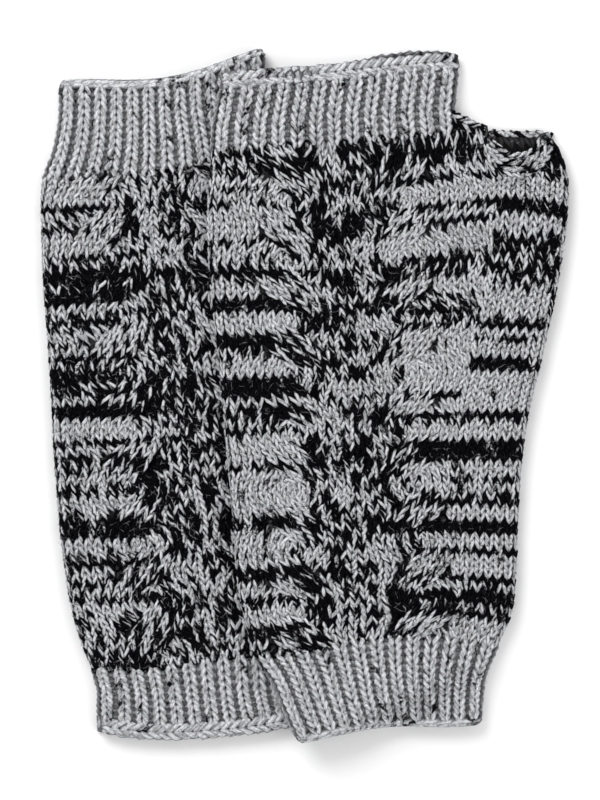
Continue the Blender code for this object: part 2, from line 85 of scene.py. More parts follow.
# Knitting gauge.
COURSE_PITCH = 2.34
WALE_PITCH = 3.1
MIDDLE_WALES = 6
STRAND_WALES = 4

Station = namedtuple(
    "Station",
    "course left_x left_y right_x right_y upper_25 upper_50 upper_75 under_25 under_50 under_75"
    " cable_left cable_right",
)
Mitt = namedtuple("Mitt", "name way hand fingers thumb covered cable_phase bands mix_seed")
Thumb = namedtuple("Thumb", "x y half_x half_y")
Place = namedtuple("Place", "y x")


def station(course, left, right, upper, cables=(0, 0), under=None):
    """A course's two folds, how far its panels bow forward at their quarters, and its cables' middles."""
    return Station(course, *left, *right, *upper, *(under or upper), *cables)


UPPER_HAND = (
    station(0, (-1.8, -110.9), (56.5, -104.9), (1.6, 1.9, 0.3), (0.18, 0.68), (2.0, 2.4, 0.9)),
    station(4, (-6.0, -101.5), (57.0, -96.5), (1.0, 2.0, 1.0), (0.18, 0.68)),
    station(9, (-11.0, -90.0), (58.5, -88.5), (1.5, 3.2, 2.6), (0.18, 0.68)),
    station(13, (-16.0, -83.0), (62.2, -80.0), (2.1, 4.8, 4.6), (0.18, 0.68)),
    station(17, (-18.5, -73.5), (66.4, -70.5), (2.0, 4.0, 3.5), (0.18, 0.68)),
    station(22, (-21.0, -62.0), (67.9, -58.5), (1.5, 3.0, 2.5), (0.19, 0.67)),
    station(30, (-22.5, -43.0), (68.5, -40.0), (1.0, 2.0, 1.5), (0.21, 0.65)),
    station(42, (-25.0, -15.0), (71.0, -11.0), (0.5, 1.0, 0.5), (0.22, 0.63)),
    station(54, (-27.5, 13.0), (76.8, 14.5), (0.5, 1.0, 1.0), (0.22, 0.59)),
    station(66, (-30.5, 40.5), (82.5, 42.5), (0.0, 0.5, 1.5), (0.22, 0.555)),
    station(74, (-31.0, 59.5), (84.5, 61.0), (0.0, 0.0, 3.0), (0.22, 0.545)),
    station(79, (-30.0, 71.5), (83.8, 73.0), (0.0, 0.5, 2.6), (0.22, 0.54)),
    station(82, (-29.5, 78.0), (79.2, 84.5), (0.5, 1.1, 2.2), (0.22, 0.54)),
)
UPPER_FINGERS = (
    station(85.5, (-29.0, 85.5), (47.7, 92.0), (0.4, 0.8, 0.9), under=(0.9, 1.1, 2.0)),
    station(90, (-27.0, 97.0), (49.0, 103.9), (0.0, 0.3, 0.1), under=(0.4, 0.7, 3.2)),
)
LOWER_HAND = (
    station(0, (-78.3, 100.6), (-13.4, 111.2), (3.0, 5.0, 3.3), (0.22, 0.61), (2.1, 4.1, 2.6)),
    station(5, (-78.6, 88.0), (-12.0, 98.0), (2.2, 3.4, 2.0), (0.22, 0.61)),
    station(9, (-80.5, 78.0), (-8.5, 88.5), (2.0, 2.5, 1.5), (0.22, 0.61)),
    station(13, (-84.0, 68.5), (-4.5, 79.0), (2.0, 2.5, 1.5), (0.22, 0.69)),
    station(18, (-84.5, 57.5), (-2.0, 67.0), (1.5, 2.0, 1.0), (0.22, 0.68)),
    station(24, (-84.1, 43.5), (0.0, 53.0), (1.0, 1.0, 0.5), (0.23, 0.67)),
    station(42, (-81.5, 3.0), (10.5, 9.5), (1.0, 1.0, 0.5), (0.245, 0.655)),
    station(54, (-80.0, -24.5), (18.5, -19.0), (0.5, 0.0, 0.0), (0.24, 0.63)),
    station(66, (-77.5, -51.5), (29.5, -48.0), (0.0, -1.0, -0.5), (0.23, 0.60)),
    station(74, (-74.5, -69.5), (35.5, -67.0), (0.0, -2.0, -1.0), (0.22, 0.575)),
    station(79, (-71.0, -81.0), (36.5, -78.5), (0.0, -2.6, -1.6), (0.22, 0.575)),
    station(82, (-68.0, -87.5), (33.0, -86.0), (0.0, -2.9, -2.0), (0.22, 0.58)),
)
LOWER_FINGERS = (
    station(86, (-66.0, -95.0), (4.7, -93.0), (1.6, 1.8, 1.4)),
    station(90, (-66.2, -102.4), (6.8, -97.6), (3.9, 4.5, 3.6), under=(3.4, 4.0, 3.0)),
)

# The lower glove's hidden right edge, which the upper glove drapes over, from top to bottom.
HIDDEN_EDGE = (
    Place(125.0, -13.0),
    Place(104.0, -12.0),
    Place(88.0, -7.5),
    Place(64.0, -0.5),
    Place(40.0, 4.0),
    Place(9.0, 11.5),
    Place(-19.0, 19.5),
    Place(-48.0, 30.5),
    Place(-67.0, 36.5),
    Place(-91.0, 37.0),
    Place(-105.0, 12.0),
    Place(-125.0, 8.5),
)
# The upper glove's left fold, past which the lower glove is hidden.
UPPER_FOLD = (
    Place(110.0, -27.0),
    Place(60.0, -31.0),
    Place(-15.0, -25.0),
    Place(-62.0, -21.0),
    Place(-115.0, 0.0),
)

# Shade of a stitch, from 0 for both plies black through 0.5 for one of each to this, both grey.
GREY = 1.0

# Dark rows of the side panels, by course from the wrist. The rest of a panel is grey.
Band = namedtuple("Band", "first shade rows", defaults=(1,))
UPPER_LEFT_BANDS = (
    Band(13, 0.2), Band(15, 0.1, 2), Band(19, 0.3, 2), Band(23, 0.1, 2), Band(26, 0.7), Band(29, 0.8),
    Band(30, 0.1), Band(31, 0.6), Band(38, 0.15), Band(43, 0.2), Band(44, 0.7), Band(45, 0.1, 2),
    Band(48, 0.0, 3), Band(53, 0.7), Band(54, 0.4), Band(55, 0.0, 2), Band(60, 0.0, 2), Band(64, 0.55),
    Band(65, 0.0), Band(66, 0.6), Band(67, 0.8, 2), Band(69, 0.5), Band(74, 0.5), Band(75, 0.85),
    Band(76, 0.25), Band(78, 0.2, 2), Band(80, 0.4), Band(81, 0.6),
)
# The upper glove's right panel and its thumb gusset have the same bands up to the palm.
UPPER_PALM_BANDS = (
    Band(16, 0.1), Band(17, 0.8), Band(18, 0.0, 2), Band(20, 0.8), Band(21, 0.1), Band(25, 0.15),
    Band(28, 0.0, 2), Band(32, 0.15), Band(33, 0.4), Band(35, 0.45), Band(38, 0.0, 3), Band(43, 0.4),
    Band(44, 0.0),
)
UPPER_RIGHT_BANDS = UPPER_PALM_BANDS + (
    Band(47, 0.3), Band(57, 0.1), Band(58, 0.6), Band(59, 0.1), Band(60, 0.7), Band(61, 0.2),
    Band(64, 0.3), Band(65, 0.2), Band(66, 0.1), Band(67, 0.8), Band(71, 0.15), Band(73, 0.15),
    Band(77, 0.2), Band(79, 0.3), Band(80, 0.05), Band(81, 0.55),
)
UPPER_GUSSET_BANDS = UPPER_PALM_BANDS + (
    Band(51, 0.0, 2), Band(55, 0.2), Band(57, 0.0), Band(58, 0.75), Band(62, 0.6), Band(63, 0.35),
    Band(64, 0.15, 2), Band(66, 0.5), Band(67, 0.35), Band(68, 0.1), Band(69, 0.6), Band(72, 0.0, 2),
    Band(77, 0.35), Band(78, 0.3), Band(79, 0.1, 3),
)
LOWER_BANDS = (
    Band(17, 0.0), Band(18, 0.75), Band(20, 0.65), Band(24, 0.25), Band(25, 0.6), Band(26, 0.0, 2),
    Band(28, 0.35), Band(29, 0.0, 2), Band(32, 0.45), Band(33, 0.1), Band(34, 0.7), Band(36, 0.6),
    Band(38, 0.1), Band(39, 0.55), Band(40, 0.05, 2), Band(42, 0.4), Band(43, 0.1), Band(45, 0.0, 2),
    Band(50, 0.1), Band(51, 0.8), Band(52, 0.15), Band(53, 0.6), Band(54, 0.4), Band(56, 0.35),
    Band(57, 0.2), Band(60, 0.7), Band(61, 0.0, 3), Band(66, 0.7), Band(67, 0.1), Band(68, 0.8),
    Band(69, 0.55), Band(70, 0.4), Band(71, 0.7), Band(72, 0.3), Band(74, 0.7), Band(75, 0.4),
    Band(76, 0.7), Band(77, 0.35), Band(78, 0.8), Band(79, 0.55), Band(80, 0.15, 2),
)
Bands = namedtuple("Bands", "left right gusset")

UPPER = Mitt(
    "upper", 1, UPPER_HAND, UPPER_FINGERS, Thumb(68.4, 82.9, 9.9, 9.4), False, 3.0,
    Bands(UPPER_LEFT_BANDS, UPPER_RIGHT_BANDS, UPPER_GUSSET_BANDS), 17,
)
LOWER = Mitt(
    "lower", -1, LOWER_HAND, LOWER_FINGERS, Thumb(23.6, -84.6, 8.4, 7.0), True, 1.0,
    Bands(LOWER_BANDS, LOWER_BANDS, LOWER_BANDS), 29,
)


class GloveSizes(bpy.types.PropertyGroup):
    """Sizes of the yarn and of its loops."""

    yarn_radius: bpy.props.FloatProperty(
        name="Yarn radius", description="Half the thickness of the hand's yarn",
        default=0.00058, min=0.0003, max=0.002, precision=5, unit="LENGTH",
    )
    rib_yarn_radius: bpy.props.FloatProperty(
        name="Rib yarn radius", description="Half the thickness of the ribs' yarn",
        default=0.00077, min=0.0003, max=0.002, precision=5, unit="LENGTH",
    )
    loop_depth: bpy.props.FloatProperty(
        name="Loop depth", description="How far a loop's legs stand out from its middle plane",
        default=0.0005, min=0.0, max=0.002, precision=5, unit="LENGTH",
    )
    loop_reach: bpy.props.FloatProperty(
        name="Loop reach", description="Half of a loop's height, as a share of the course",
        default=1.02, min=0.5, max=1.5,
    )
    loop_spread: bpy.props.FloatProperty(
        name="Loop spread", description="How far the legs lean, as a share of the wale",
        default=0.28, min=0.0, max=0.4,
    )


class GloveColours(bpy.types.PropertyGroup):
    """Colours of the dyed wool."""

    grey: bpy.props.FloatVectorProperty(
        name="Grey wool", description="Light grey heather ply",
        default=(0.66, 0.665, 0.69), size=3, subtype="COLOR", min=0, max=1,
    )
    black: bpy.props.FloatVectorProperty(
        name="Black wool", description="Black ply",
        default=(0.0018, 0.0017, 0.0026), size=3, subtype="COLOR", min=0, max=1,
    )
    rib_grey: bpy.props.FloatVectorProperty(
        name="Rib wool", description="Grey heather of the ribs and edges",
        default=(0.66, 0.665, 0.69), size=3, subtype="COLOR", min=0, max=1,
    )


def smooth(xs, ys, at):
    """Values of the smooth curve through the given points."""
    xs = np.asarray(xs, float)
    ys = np.asarray(ys, float)
    at = np.asarray(at, float)
    slopes = np.gradient(ys, xs)
    i = np.clip(np.searchsorted(xs, at) - 1, 0, len(xs) - 2)
    step = xs[i + 1] - xs[i]
    t = np.clip((at - xs[i]) / step, 0, 1)
    rise = (1 + 2 * t) * (1 - t) ** 2 * ys[i] + t * t * (3 - 2 * t) * ys[i + 1]
    return rise + step * t * (1 - t) * ((1 - t) * slopes[i] - t * slopes[i + 1])


def ease(t):
    t = np.clip(t, 0.0, 1.0)
    return t * t * (3 - 2 * t)


def station_at(rows, course):
    courses = [row.course for row in rows]
    return Station(*(float(smooth(courses, column, course)) for column in zip(*rows)))


def bow(share, quarter, half, three_quarter):
    """A smooth curve that is nil at both folds and has the given values at the quarters between."""
    s = share
    at_quarter = s * (s - 0.5) * (s - 0.75) * (s - 1) / (0.25 * -0.25 * -0.5 * -0.75)
    at_half = s * (s - 0.25) * (s - 0.75) * (s - 1) / (0.5 * 0.25 * -0.25 * -0.5)
    at_three_quarter = s * (s - 0.25) * (s - 0.5) * (s - 1) / (0.75 * 0.5 * 0.25 * -0.25)
    return quarter * at_quarter + half * at_half + three_quarter * at_three_quarter


class Line:
    """One course of a glove in plan: its two folds, and how each panel bows between them."""

    def __init__(self, row, way):
        self.row = row
        self.left = np.array((row.left_x, row.left_y))
        self.right = np.array((row.right_x, row.right_y))
        self.width = float(np.linalg.norm(self.right - self.left))
        self.across = (self.right - self.left) / self.width
        self.ahead = way * np.array((-self.across[1], self.across[0]))

    def place(self, shares, rise):
        """Plan places at shares of the way across. Rise is 1 on the upper panel and 0 on the under one."""
        row = self.row
        shares = np.asarray(shares, float)[..., None]
        upper = bow(shares, row.upper_25, row.upper_50, row.upper_75)
        under = bow(shares, row.under_25, row.under_50, row.under_75)
        bowed = (rise * upper + (1 - rise) * under) * self.ahead
        return self.left + shares * (self.right - self.left) + bowed


class PartLine:
    """The part of a hand's last course that the finger rib grows from, moved on by the seam gap."""

    def __init__(self, line, share, gap):
        self.line = line
        self.part = share
        self.gap = gap
        self.width = line.width * share
        self.ahead = line.ahead

    def place(self, shares, rise):
        return self.line.place(np.asarray(shares) * self.part, rise) + self.gap * self.ahead


class BetweenLines:
    """A course between two others, the given part of the way from one to the next."""

    def __init__(self, first, last, part):
        self.first = first
        self.last = last
        self.part = part
        self.width = first.width + part * (last.width - first.width)
        self.ahead = first.ahead + part * (last.ahead - first.ahead)

    def place(self, shares, rise):
        start = self.first.place(shares, rise)
        return start + self.part * (self.last.place(shares, rise) - start)


def hand_line(mitt, course):
    return Line(station_at(mitt.hand, course), mitt.way)


def finger_line(mitt, course):
    """The finger rib's courses, from the hand's last one through the two rows of its own table."""
    start = PartLine(hand_line(mitt, BODY_END), RIB_SHARE, SEAM_GAP)
    middle, end = (Line(row, mitt.way) for row in mitt.fingers)
    break_course = mitt.fingers[0].course
    if course <= break_course:
        return BetweenLines(start, middle, (course - BODY_END) / (break_course - BODY_END))
    return BetweenLines(middle, end, (course - break_course) / (FINGER_END - break_course))


def edge_x(places, y):
    """Where the given edge runs at these heights of the plan. Its places are listed from top to bottom."""
    rows = places[::-1]
    return smooth([row.y for row in rows], [row.x for row in rows], y)


def lift(mitt, x, y):
    """Height of the surface that this glove lies on: the floor, or the glove below it."""
    if mitt.covered:
        return np.zeros_like(x)
    run = (x - (edge_x(HIDDEN_EDGE, y) - DRAPE_START)) / DRAPE_RUN
    return DRAPE_HEIGHT * (1 - ease(run))


class Cloth:
    """One tube of a glove between two courses. It gives the place of any spot on its outside."""

    ROWS_PER_COURSE = 4
    SHARE_STEPS = 64

    def __init__(self, mitt, line_of, first, last):
        self.mitt = mitt
        self.first = first
        self.last = last
        self.courses = np.linspace(first, last, int((last - first) * self.ROWS_PER_COURSE) + 1)
        lines = [line_of(mitt, course) for course in self.courses]
        self.widths = np.array([line.width for line in lines])
        self.ends = (lines[0].ahead, lines[-1].ahead)
        shares = np.linspace(0, 1, self.SHARE_STEPS + 1)
        self.under = np.array([line.place(shares, 0.0) for line in lines])
        self.upper = np.array([line.place(shares, 1.0) for line in lines])

    def width(self, course):
        return np.interp(course, self.courses, self.widths)

    def girth(self, course):
        """Length round the outside from the left fold's outermost line over the top to the right one's."""
        return self.width(course) + (math.pi - 2) * FOLD_RADIUS

    def plan(self, share, course, rise):
        """Plan places from the two panels' grids, carried straight on past the first and last course."""
        inside = np.clip(course, self.first, self.last)
        row = (inside - self.first) * self.ROWS_PER_COURSE
        column = share * self.SHARE_STEPS
        i = np.clip(np.floor(row).astype(int), 0, len(self.courses) - 2)
        j = np.clip(np.floor(column).astype(int), 0, self.SHARE_STEPS - 1)
        a = (row - i)[..., None]
        b = (column - j)[..., None]
        place = 0
        for grid, weight in ((self.under, 1 - rise), (self.upper, rise)):
            near = grid[i, j] * (1 - b) + grid[i, j + 1] * b
            far = grid[i + 1, j] * (1 - b) + grid[i + 1, j + 1] * b
            place = place + weight[..., None] * (near * (1 - a) + far * a)
        before = np.minimum(course - self.first, 0)[..., None] * self.ends[0]
        after = np.maximum(course - self.last, 0)[..., None] * self.ends[1]
        return place + COURSE_PITCH * (before + after)

    def point(self, s, course, offset):
        """Places of spots s mm round the outside from the left fold, and that far out from the solid."""
        s, course, offset = np.broadcast_arrays(np.asarray(s, float), course, offset)
        course = course.astype(float)
        offset = offset.astype(float)
        width = self.width(course)
        end = self.girth(course)
        left = s < QUARTER
        right = s > end - QUARTER
        turn = np.where(left, s, end - s) / FOLD_RADIUS
        bend = np.clip(turn, -math.pi / 2, math.pi / 2)
        under = np.where(turn < -math.pi / 2, (bend - turn) * FOLD_RADIUS, 0.0)
        reach = FOLD_RADIUS + offset
        inwards = FOLD_RADIUS - reach * np.cos(bend) + under
        on_top = s - QUARTER + FOLD_RADIUS
        distance = np.where(left, inwards, np.where(right, width - inwards, on_top))
        height = np.where(left | right, FOLD_RADIUS + reach * np.sin(bend), LAYER + offset)
        spot = self.plan(distance / width, course, np.clip(height / LAYER, 0, 1))
        z = lift(self.mitt, spot[..., 0], spot[..., 1]) + height
        return np.stack([spot[..., 0] - CENTRE_X, spot[..., 1] - CENTRE_Y, z], axis=-1)


def unit(vectors):
    return vectors / np.maximum(np.linalg.norm(vectors, axis=-1, keepdims=True), 1e-9)


# A bed's last field darkens its loop: painted shade, 1 where there is none.
Beds = namedtuple("Beds", "centre along out size thick shade shade_b dim")
LOWEST_STITCH = 1.3


def beds_from_wales(cloth, courses, left, right, offset, depth, thick, shade, shade_b, dim):
    """The bed of each stitch: its place, its directions and its size. Courses come in half steps."""
    middle = cloth.point((left + right) / 2, courses, offset)
    along = middle[:, 2::2] - middle[:, :-2:2]
    sides = cloth.point(right[:, 1::2], courses[1::2], offset[:, 1::2])
    sides = sides - cloth.point(left[:, 1::2], courses[1::2], offset[:, 1::2])
    out = unit(np.cross(sides, along)) * cloth.mitt.way
    width = np.linalg.norm(np.cross(sides, unit(along)), axis=-1)
    size = np.stack([width, np.linalg.norm(along, axis=-1), depth], axis=-1)
    return Beds(middle[:, 1::2], unit(along), out, size, thick, shade, shade_b, dim)


def picked(beds, keep):
    return Beds(*(np.asarray(column)[keep] for column in beds))


def joined(parts):
    return Beds(*(np.concatenate(columns) for columns in zip(*parts)))


Wale = namedtuple("Wale", "left right offset shown group index")

OUTER_PLANE = -0.80
CABLE_PAUSE = 0.03
CABLE_PULL = 2.9
PULL_REACH = 3.0
CABLE_SPREAD = 0.78
CABLE_SWING = 0.47
FRONT_RISE = 0.95
BACK_DROP = 0.9
BACK_HIDDEN = 0.9
STRAND_BULGE = 0.5
SIDE_WALES = 9
GUSSET_WALES = 8
FOLDED_WALES = 2
LEAST_WALE = 0.3


def cable_middles(cloth, courses):
    """How far round the outside the middles of the two cables lie."""
    hand = cloth.mitt.hand
    rows = [row.course for row in hand]
    shares = [row.cable_left for row in hand], [row.cable_right for row in hand]
    return [smooth(rows, share, courses) * cloth.width(courses) + TOP_START for share in shares]


def hand_wales(cloth, courses):
    """The hand's stitch columns: their left and right sides, course by course, round the upper panel."""
    girth = cloth.girth(courses)
    middles = cable_middles(cloth, courses)
    turn = (courses - cloth.mitt.cable_phase) / CABLE_COURSES
    count = np.floor(turn).astype(int)
    step = np.clip((turn - count - CABLE_PAUSE) / (1 - 2 * CABLE_PAUSE), 0, 1)
    crossing = np.sin(math.pi * step) ** 2
    half = CABLE_HALF_WIDTH - CABLE_PULL * crossing
    level = np.full(len(courses), OUTER_PLANE)
    always = np.ones(len(courses), bool)
    wales = []

    def add(left, right, shown, group, index, offset=level):
        wales.append(Wale(left, right, offset, shown, group, index))

    def left_edge(k):
        pulled = CABLE_PULL * crossing * math.exp(-k / PULL_REACH)
        return middles[0] - CABLE_HALF_WIDTH - k * WALE_PITCH + pulled

    for i in range(SIDE_WALES):
        left = left_edge(i + 1)
        right = left_edge(i)
        add(left, right, (left + right) / 2 > -QUARTER, "left", i)
    inner = [middles[0] + half, middles[1] - half]
    for i in range(MIDDLE_WALES):
        sides = [inner[0] + (inner[1] - inner[0]) * k / MIDDLE_WALES for k in (i, i + 1)]
        add(*sides, always, "middle", i)
    first_right = middles[1] + half
    gusset = girth - GUSSET_WALES * WALE_PITCH
    for i in range(SIDE_WALES):
        left = first_right + i * WALE_PITCH
        right = np.minimum(left + WALE_PITCH, gusset)
        add(left, right, right - left > LEAST_WALE * WALE_PITCH, "right", i)
    for i in range(-FOLDED_WALES, GUSSET_WALES):
        right = girth - i * WALE_PITCH
        left = np.maximum(right - WALE_PITCH, first_right)
        add(left, right, right - left > LEAST_WALE * WALE_PITCH, "gusset", i)
    pitch = half / STRAND_WALES * (1 + CABLE_SPREAD * crossing)
    for middle, side, group in zip(middles, (1, -1), ("cable_left", "cable_right")):
        swing = np.cos(math.pi * step) * half * CABLE_SWING * side
        for strand in range(2):
            front = (count + strand) % 2 == 0
            strand_middle = middle + np.where(front, swing, -swing)
            lifted = np.where(front, FRONT_RISE * crossing, -BACK_DROP * crossing)
            shown = front | (crossing < BACK_HIDDEN)
            for i in range(STRAND_WALES):
                left = strand_middle + (i - STRAND_WALES / 2) * pitch
                bulge = STRAND_BULGE * math.sin(math.pi * (i + 0.5) / STRAND_WALES)
                add(left, left + pitch, shown, group, strand * STRAND_WALES + i, level + lifted + bulge)
    return wales


NOISE_CELL = 1.55
NOISE_MARGIN = 4
NOISE_EDGE = 2
LEG_SHARES = (0.25, 0.75)
NEIGHBOUR_SHARE = 0.75
COURSE_SHARE = 0.5
FINE_SHARE = 1.2
MIX_LEVEL = 0.47
MIX_SWING = 0.36
BAND_SWING = 0.13
BAND_REACH = 10.5
MIX_RUN = 6.0
BAND_TRACE = 0.20
FOLD_MIX_START = 56
FOLD_MIX_COURSES = 4
FOLD_MIX_LEVEL = 0.36


def soft_noise(seed, rows, columns):
    """A field of random numbers with soft patches a few stitches wide. Its values are spread about nil."""
    edges = 2 * NOISE_EDGE
    field = np.random.default_rng(seed).standard_normal((rows + edges, columns + edges))
    across = field + NEIGHBOUR_SHARE * (np.roll(field, 1, axis=1) + np.roll(field, -1, axis=1))
    along = across + COURSE_SHARE * (np.roll(across, 1, axis=0) + np.roll(across, -1, axis=0))
    fine = np.random.default_rng(seed + 1).standard_normal(field.shape)
    mixed = along / along.std() + FINE_SHARE * fine
    return (mixed / mixed.std())[NOISE_EDGE:-NOISE_EDGE, NOISE_EDGE:-NOISE_EDGE]


def band_levels(bands, rows):
    """Shade of each of the hand's courses in a side panel."""
    levels = np.full(rows, GREY)
    for band in bands:
        start = band.first - BODY_START
        levels[start:start + band.rows] = band.shade
    return levels


def wale_shade(wale, at, spot, value, levels, middles):
    """Shade along one stitch column. Side panels keep their bands, which fade into a mix in the cables."""
    if wale.group in levels:
        band = levels[wale.group] + BAND_SWING * value
        if wale.group == "gusset" and wale.index <= 0:
            mixed = ease((at - FOLD_MIX_START) / FOLD_MIX_COURSES)
            band = band * (1 - mixed) + (FOLD_MIX_LEVEL + MIX_SWING * value) * mixed
        return band
    from_left = ease((spot - (middles[0] - CABLE_HALF_WIDTH) - BAND_REACH) / MIX_RUN)
    from_right = ease((middles[1] + CABLE_HALF_WIDTH - spot - BAND_REACH) / MIX_RUN)
    side = np.where(from_left < from_right, levels["left"], levels["right"])
    mix = MIX_LEVEL + MIX_SWING * value + BAND_TRACE * (side - MIX_LEVEL)
    weight = np.minimum(from_left, from_right)
    return side * (1 - weight) + mix * weight + BAND_SWING * value


def hand_shades(cloth, courses, wales):
    """Shade of each stitch's two legs, column by column."""
    at = courses[1::2]
    rows = len(at)
    columns = int(cloth.girth(at).max() / NOISE_CELL) + 3 * NOISE_MARGIN
    noise = soft_noise(cloth.mitt.mix_seed, rows, columns)
    levels = {group: band_levels(bands, rows) for group, bands in cloth.mitt.bands._asdict().items()}
    middles = cable_middles(cloth, at)
    index = np.arange(rows)
    shades = []
    for share in LEG_SHARES:
        legs = []
        for wale in wales:
            left = wale.left[1::2]
            spot = left + share * (wale.right[1::2] - left)
            column = np.clip(spot / NOISE_CELL + NOISE_MARGIN, 0, columns - 1.001)
            low = np.floor(column).astype(int)
            part = column - low
            value = noise[index, low] * (1 - part) + noise[index, low + 1] * part
            legs.append(wale_shade(wale, at, spot, value, levels, middles))
        shades.append(np.array(legs))
    return shades


HIDDEN_MARGIN = 7.0


def hand_beds(cloth):
    courses = np.linspace(BODY_START, BODY_END, 2 * (BODY_END - BODY_START) + 1)
    wales = hand_wales(cloth, courses)
    left, right, offset, shown = (
        np.array([getattr(wale, column) for wale in wales])
        for column in ("left", "right", "offset", "shown")
    )
    shown = shown[:, 1::2]
    sizes = bpy.context.scene.glove_sizes
    depth = np.full(shown.shape, sizes.loop_depth / MM)
    thick = np.full(shown.shape, sizes.yarn_radius / MM)
    shades = hand_shades(cloth, courses, wales)
    beds = beds_from_wales(cloth, courses, left, right, offset, depth, thick, *shades, np.ones(shown.shape))
    within, past = thumb_zones(cloth.mitt, beds.centre, STITCH_OPENING)
    keep = shown & ~within & ~past & (beds.centre[..., 2] > LOWEST_STITCH)
    if cloth.mitt.covered:
        keep &= beds.centre[..., 0] < edge_x(UPPER_FOLD, beds.centre[..., 1]) + HIDDEN_MARGIN
    return picked(beds, keep)


# The rounded corner beside the thumb's opening.
CORNER_SHARE = 0.66
CORNER_DROP = 3.6
CORNER_RADIUS = 5.2

# How much larger than the thumb's edge the opening is in the stitches and in the ground behind them.
Opening = namedtuple("Opening", "grow_x grow_y beyond_crotch mouth corner")
STITCH_OPENING = Opening(1.2, 1.9, 0.11, 0.2, 0.0)
GROUND_OPENING = Opening(0.6, 0.9, 0.0, -0.6, 0.3)


def past_corner(mitt, x, y, radius):
    """How far outside the rounded corner these places lie, its middle, and their distance from that."""
    middle_x = mitt.thumb.x + CORNER_SHARE * mitt.thumb.half_x
    middle_y = mitt.thumb.y - mitt.way * CORNER_DROP
    side = x - middle_x
    ahead = mitt.way * (y - middle_y)
    distance = np.hypot(side, ahead)
    return np.where((side > 0) & (ahead > 0), distance - radius, -1.0), (middle_x, middle_y), distance


def thumb_zones(mitt, centre, opening):
    """Which places lie within the thumb's opening, and which lie past its mouth or its corner."""
    thumb = mitt.thumb
    x = centre[..., 0] + CENTRE_X
    y = centre[..., 1] + CENTRE_Y
    side = (x - thumb.x) / (thumb.half_x + opening.grow_x)
    ahead = (y - thumb.y) / (thumb.half_y + opening.grow_y)
    crotch = hand_line(mitt, BODY_END).place(CROTCH_SHARE, 0.5)[0] + opening.beyond_crotch
    past = (x > crotch) & (mitt.way * (y - thumb.y) > opening.mouth)
    corner, _, _ = past_corner(mitt, x, y, CORNER_RADIUS + opening.corner)
    return side * side + ahead * ahead < 1, past | (corner > 0)


RibWale = namedtuple("RibWale", "share plane depth thick dim")
# The last number is painted shade: the turned loops down in the valleys are drawn darker.
RIB_WALES = (
    RibWale(0.80, -0.62, 0.55, 1.0, 1.0),
    RibWale(0.36, -1.50, -0.45, 0.8, 0.90),
)
LAST_COURSE_SINK = 0.7
RIB_FLECK_SEED = 53
FLECK_CHANCE = 0.10
FLECK_SHADE = 0.80


def flecked(source, shape):
    """Shades of grey stitches, some with a dark ply that shows here and there."""
    return np.where(source.random(shape) < FLECK_CHANCE, FLECK_SHADE, GREY)


def rib_beds(cloth, first, last):
    """Knit one, purl one: raised columns of loops with turned loops in the valleys between them."""
    courses = np.linspace(first, last, 2 * (last - first) + 1)
    sink = np.where(courses > FINGER_END, LAST_COURSE_SINK, 0.0)
    shape = (1, len(courses) // 2)
    pitch = cloth.width(courses) / RIB_COUNT
    radius = bpy.context.scene.glove_sizes.rib_yarn_radius / MM
    source = np.random.default_rng(RIB_FLECK_SEED)
    parts = []
    for k in range(-2, 2 * RIB_COUNT + 2):
        wale = RIB_WALES[k % 2]
        centre = (k + 1) / 2 * pitch + TOP_START
        left = (centre - wale.share * pitch / 2)[None]
        right = (centre + wale.share * pitch / 2)[None]
        offset = np.full_like(left, wale.plane) - sink
        depth, thick, dim = (np.full(shape, value) for value in (wale.depth, radius * wale.thick, wale.dim))
        shades = flecked(source, (2, *shape))
        beds = beds_from_wales(cloth, courses, left, right, offset, depth, thick, *shades, dim)
        parts.append(picked(beds, beds.centre[..., 2] > LOWEST_STITCH))
    return joined(parts)


def chain_beds(points, out, width, thick, shades, depth):
    """A chain of loops lying along a closed path."""
    ahead = np.roll(points, -1, axis=0) - np.roll(points, 1, axis=0)
    step = np.linalg.norm(np.roll(points, -1, axis=0) - points, axis=-1)
    size = np.stack([np.broadcast_to(width, step.shape), step, np.full(step.shape, depth)], axis=-1)
    thick = np.broadcast_to(thick, step.shape)
    shades = np.asarray(shades, float)
    return Beds(points, unit(ahead), unit(out), size, thick, shades, shades, np.ones(len(points)))


def even_path(points, pitch):
    """Points a given pitch apart along a closed polyline."""
    closed = np.vstack([points, points[:1]])
    run = np.concatenate([[0], np.cumsum(np.linalg.norm(np.diff(closed, axis=0), axis=-1))])
    at = np.linspace(0, run[-1], int(round(run[-1] / pitch)), endpoint=False)
    return np.stack([np.interp(at, run, closed[:, axis]) for axis in range(3)], axis=-1)


def nearest(dense, points):
    """Which of the dense places lies nearest to each point."""
    return [int(np.argmin(((dense - point) ** 2).sum(axis=-1))) for point in points]


def repeated(shades, count):
    return [shades[i % len(shades)] for i in range(count)]


Ring = namedtuple("Ring", "plane pitch width thick depth seed")
FINGER_RING = Ring(-1.5, 2.9, 4.9, 0.92, 0.6, 59)
CAST_ON_RING = Ring(-1.15, 2.2, 2.2, 1.0, 0.25, 61)
RING_STEPS = 400
CAST_ON_COURSE = 0.45
CAST_ON_ROLL = 0.75
CHAIN_ROLL = 0.35
FOLD_TILT = 0.8

# Loops whose outward direction points further down than this belong to the underside.
UNDERSIDE = -0.5


def ring_beds(cloth, course, ring, roll, tilt=0.0):
    """A chain of loops round the whole tube. Its loops roll outwards, and tilt up at the folds."""
    under = float(cloth.width(course)) - 2 * FOLD_RADIUS
    s = np.linspace(-QUARTER, float(cloth.girth(course)) + QUARTER + under, RING_STEPS, endpoint=False)
    dense = cloth.point(s, float(course), ring.plane)
    outwards = cloth.point(s, float(course), ring.plane + 1.0) - dense
    points = even_path(dense, ring.pitch)
    out = unit(outwards[nearest(dense, points)])
    out[:, 2] += tilt * (out[:, 2] > UNDERSIDE)
    out[:, :2] += roll
    shades = flecked(np.random.default_rng(ring.seed), len(points))
    return chain_beds(points, out, ring.width, ring.thick, shades, ring.depth)


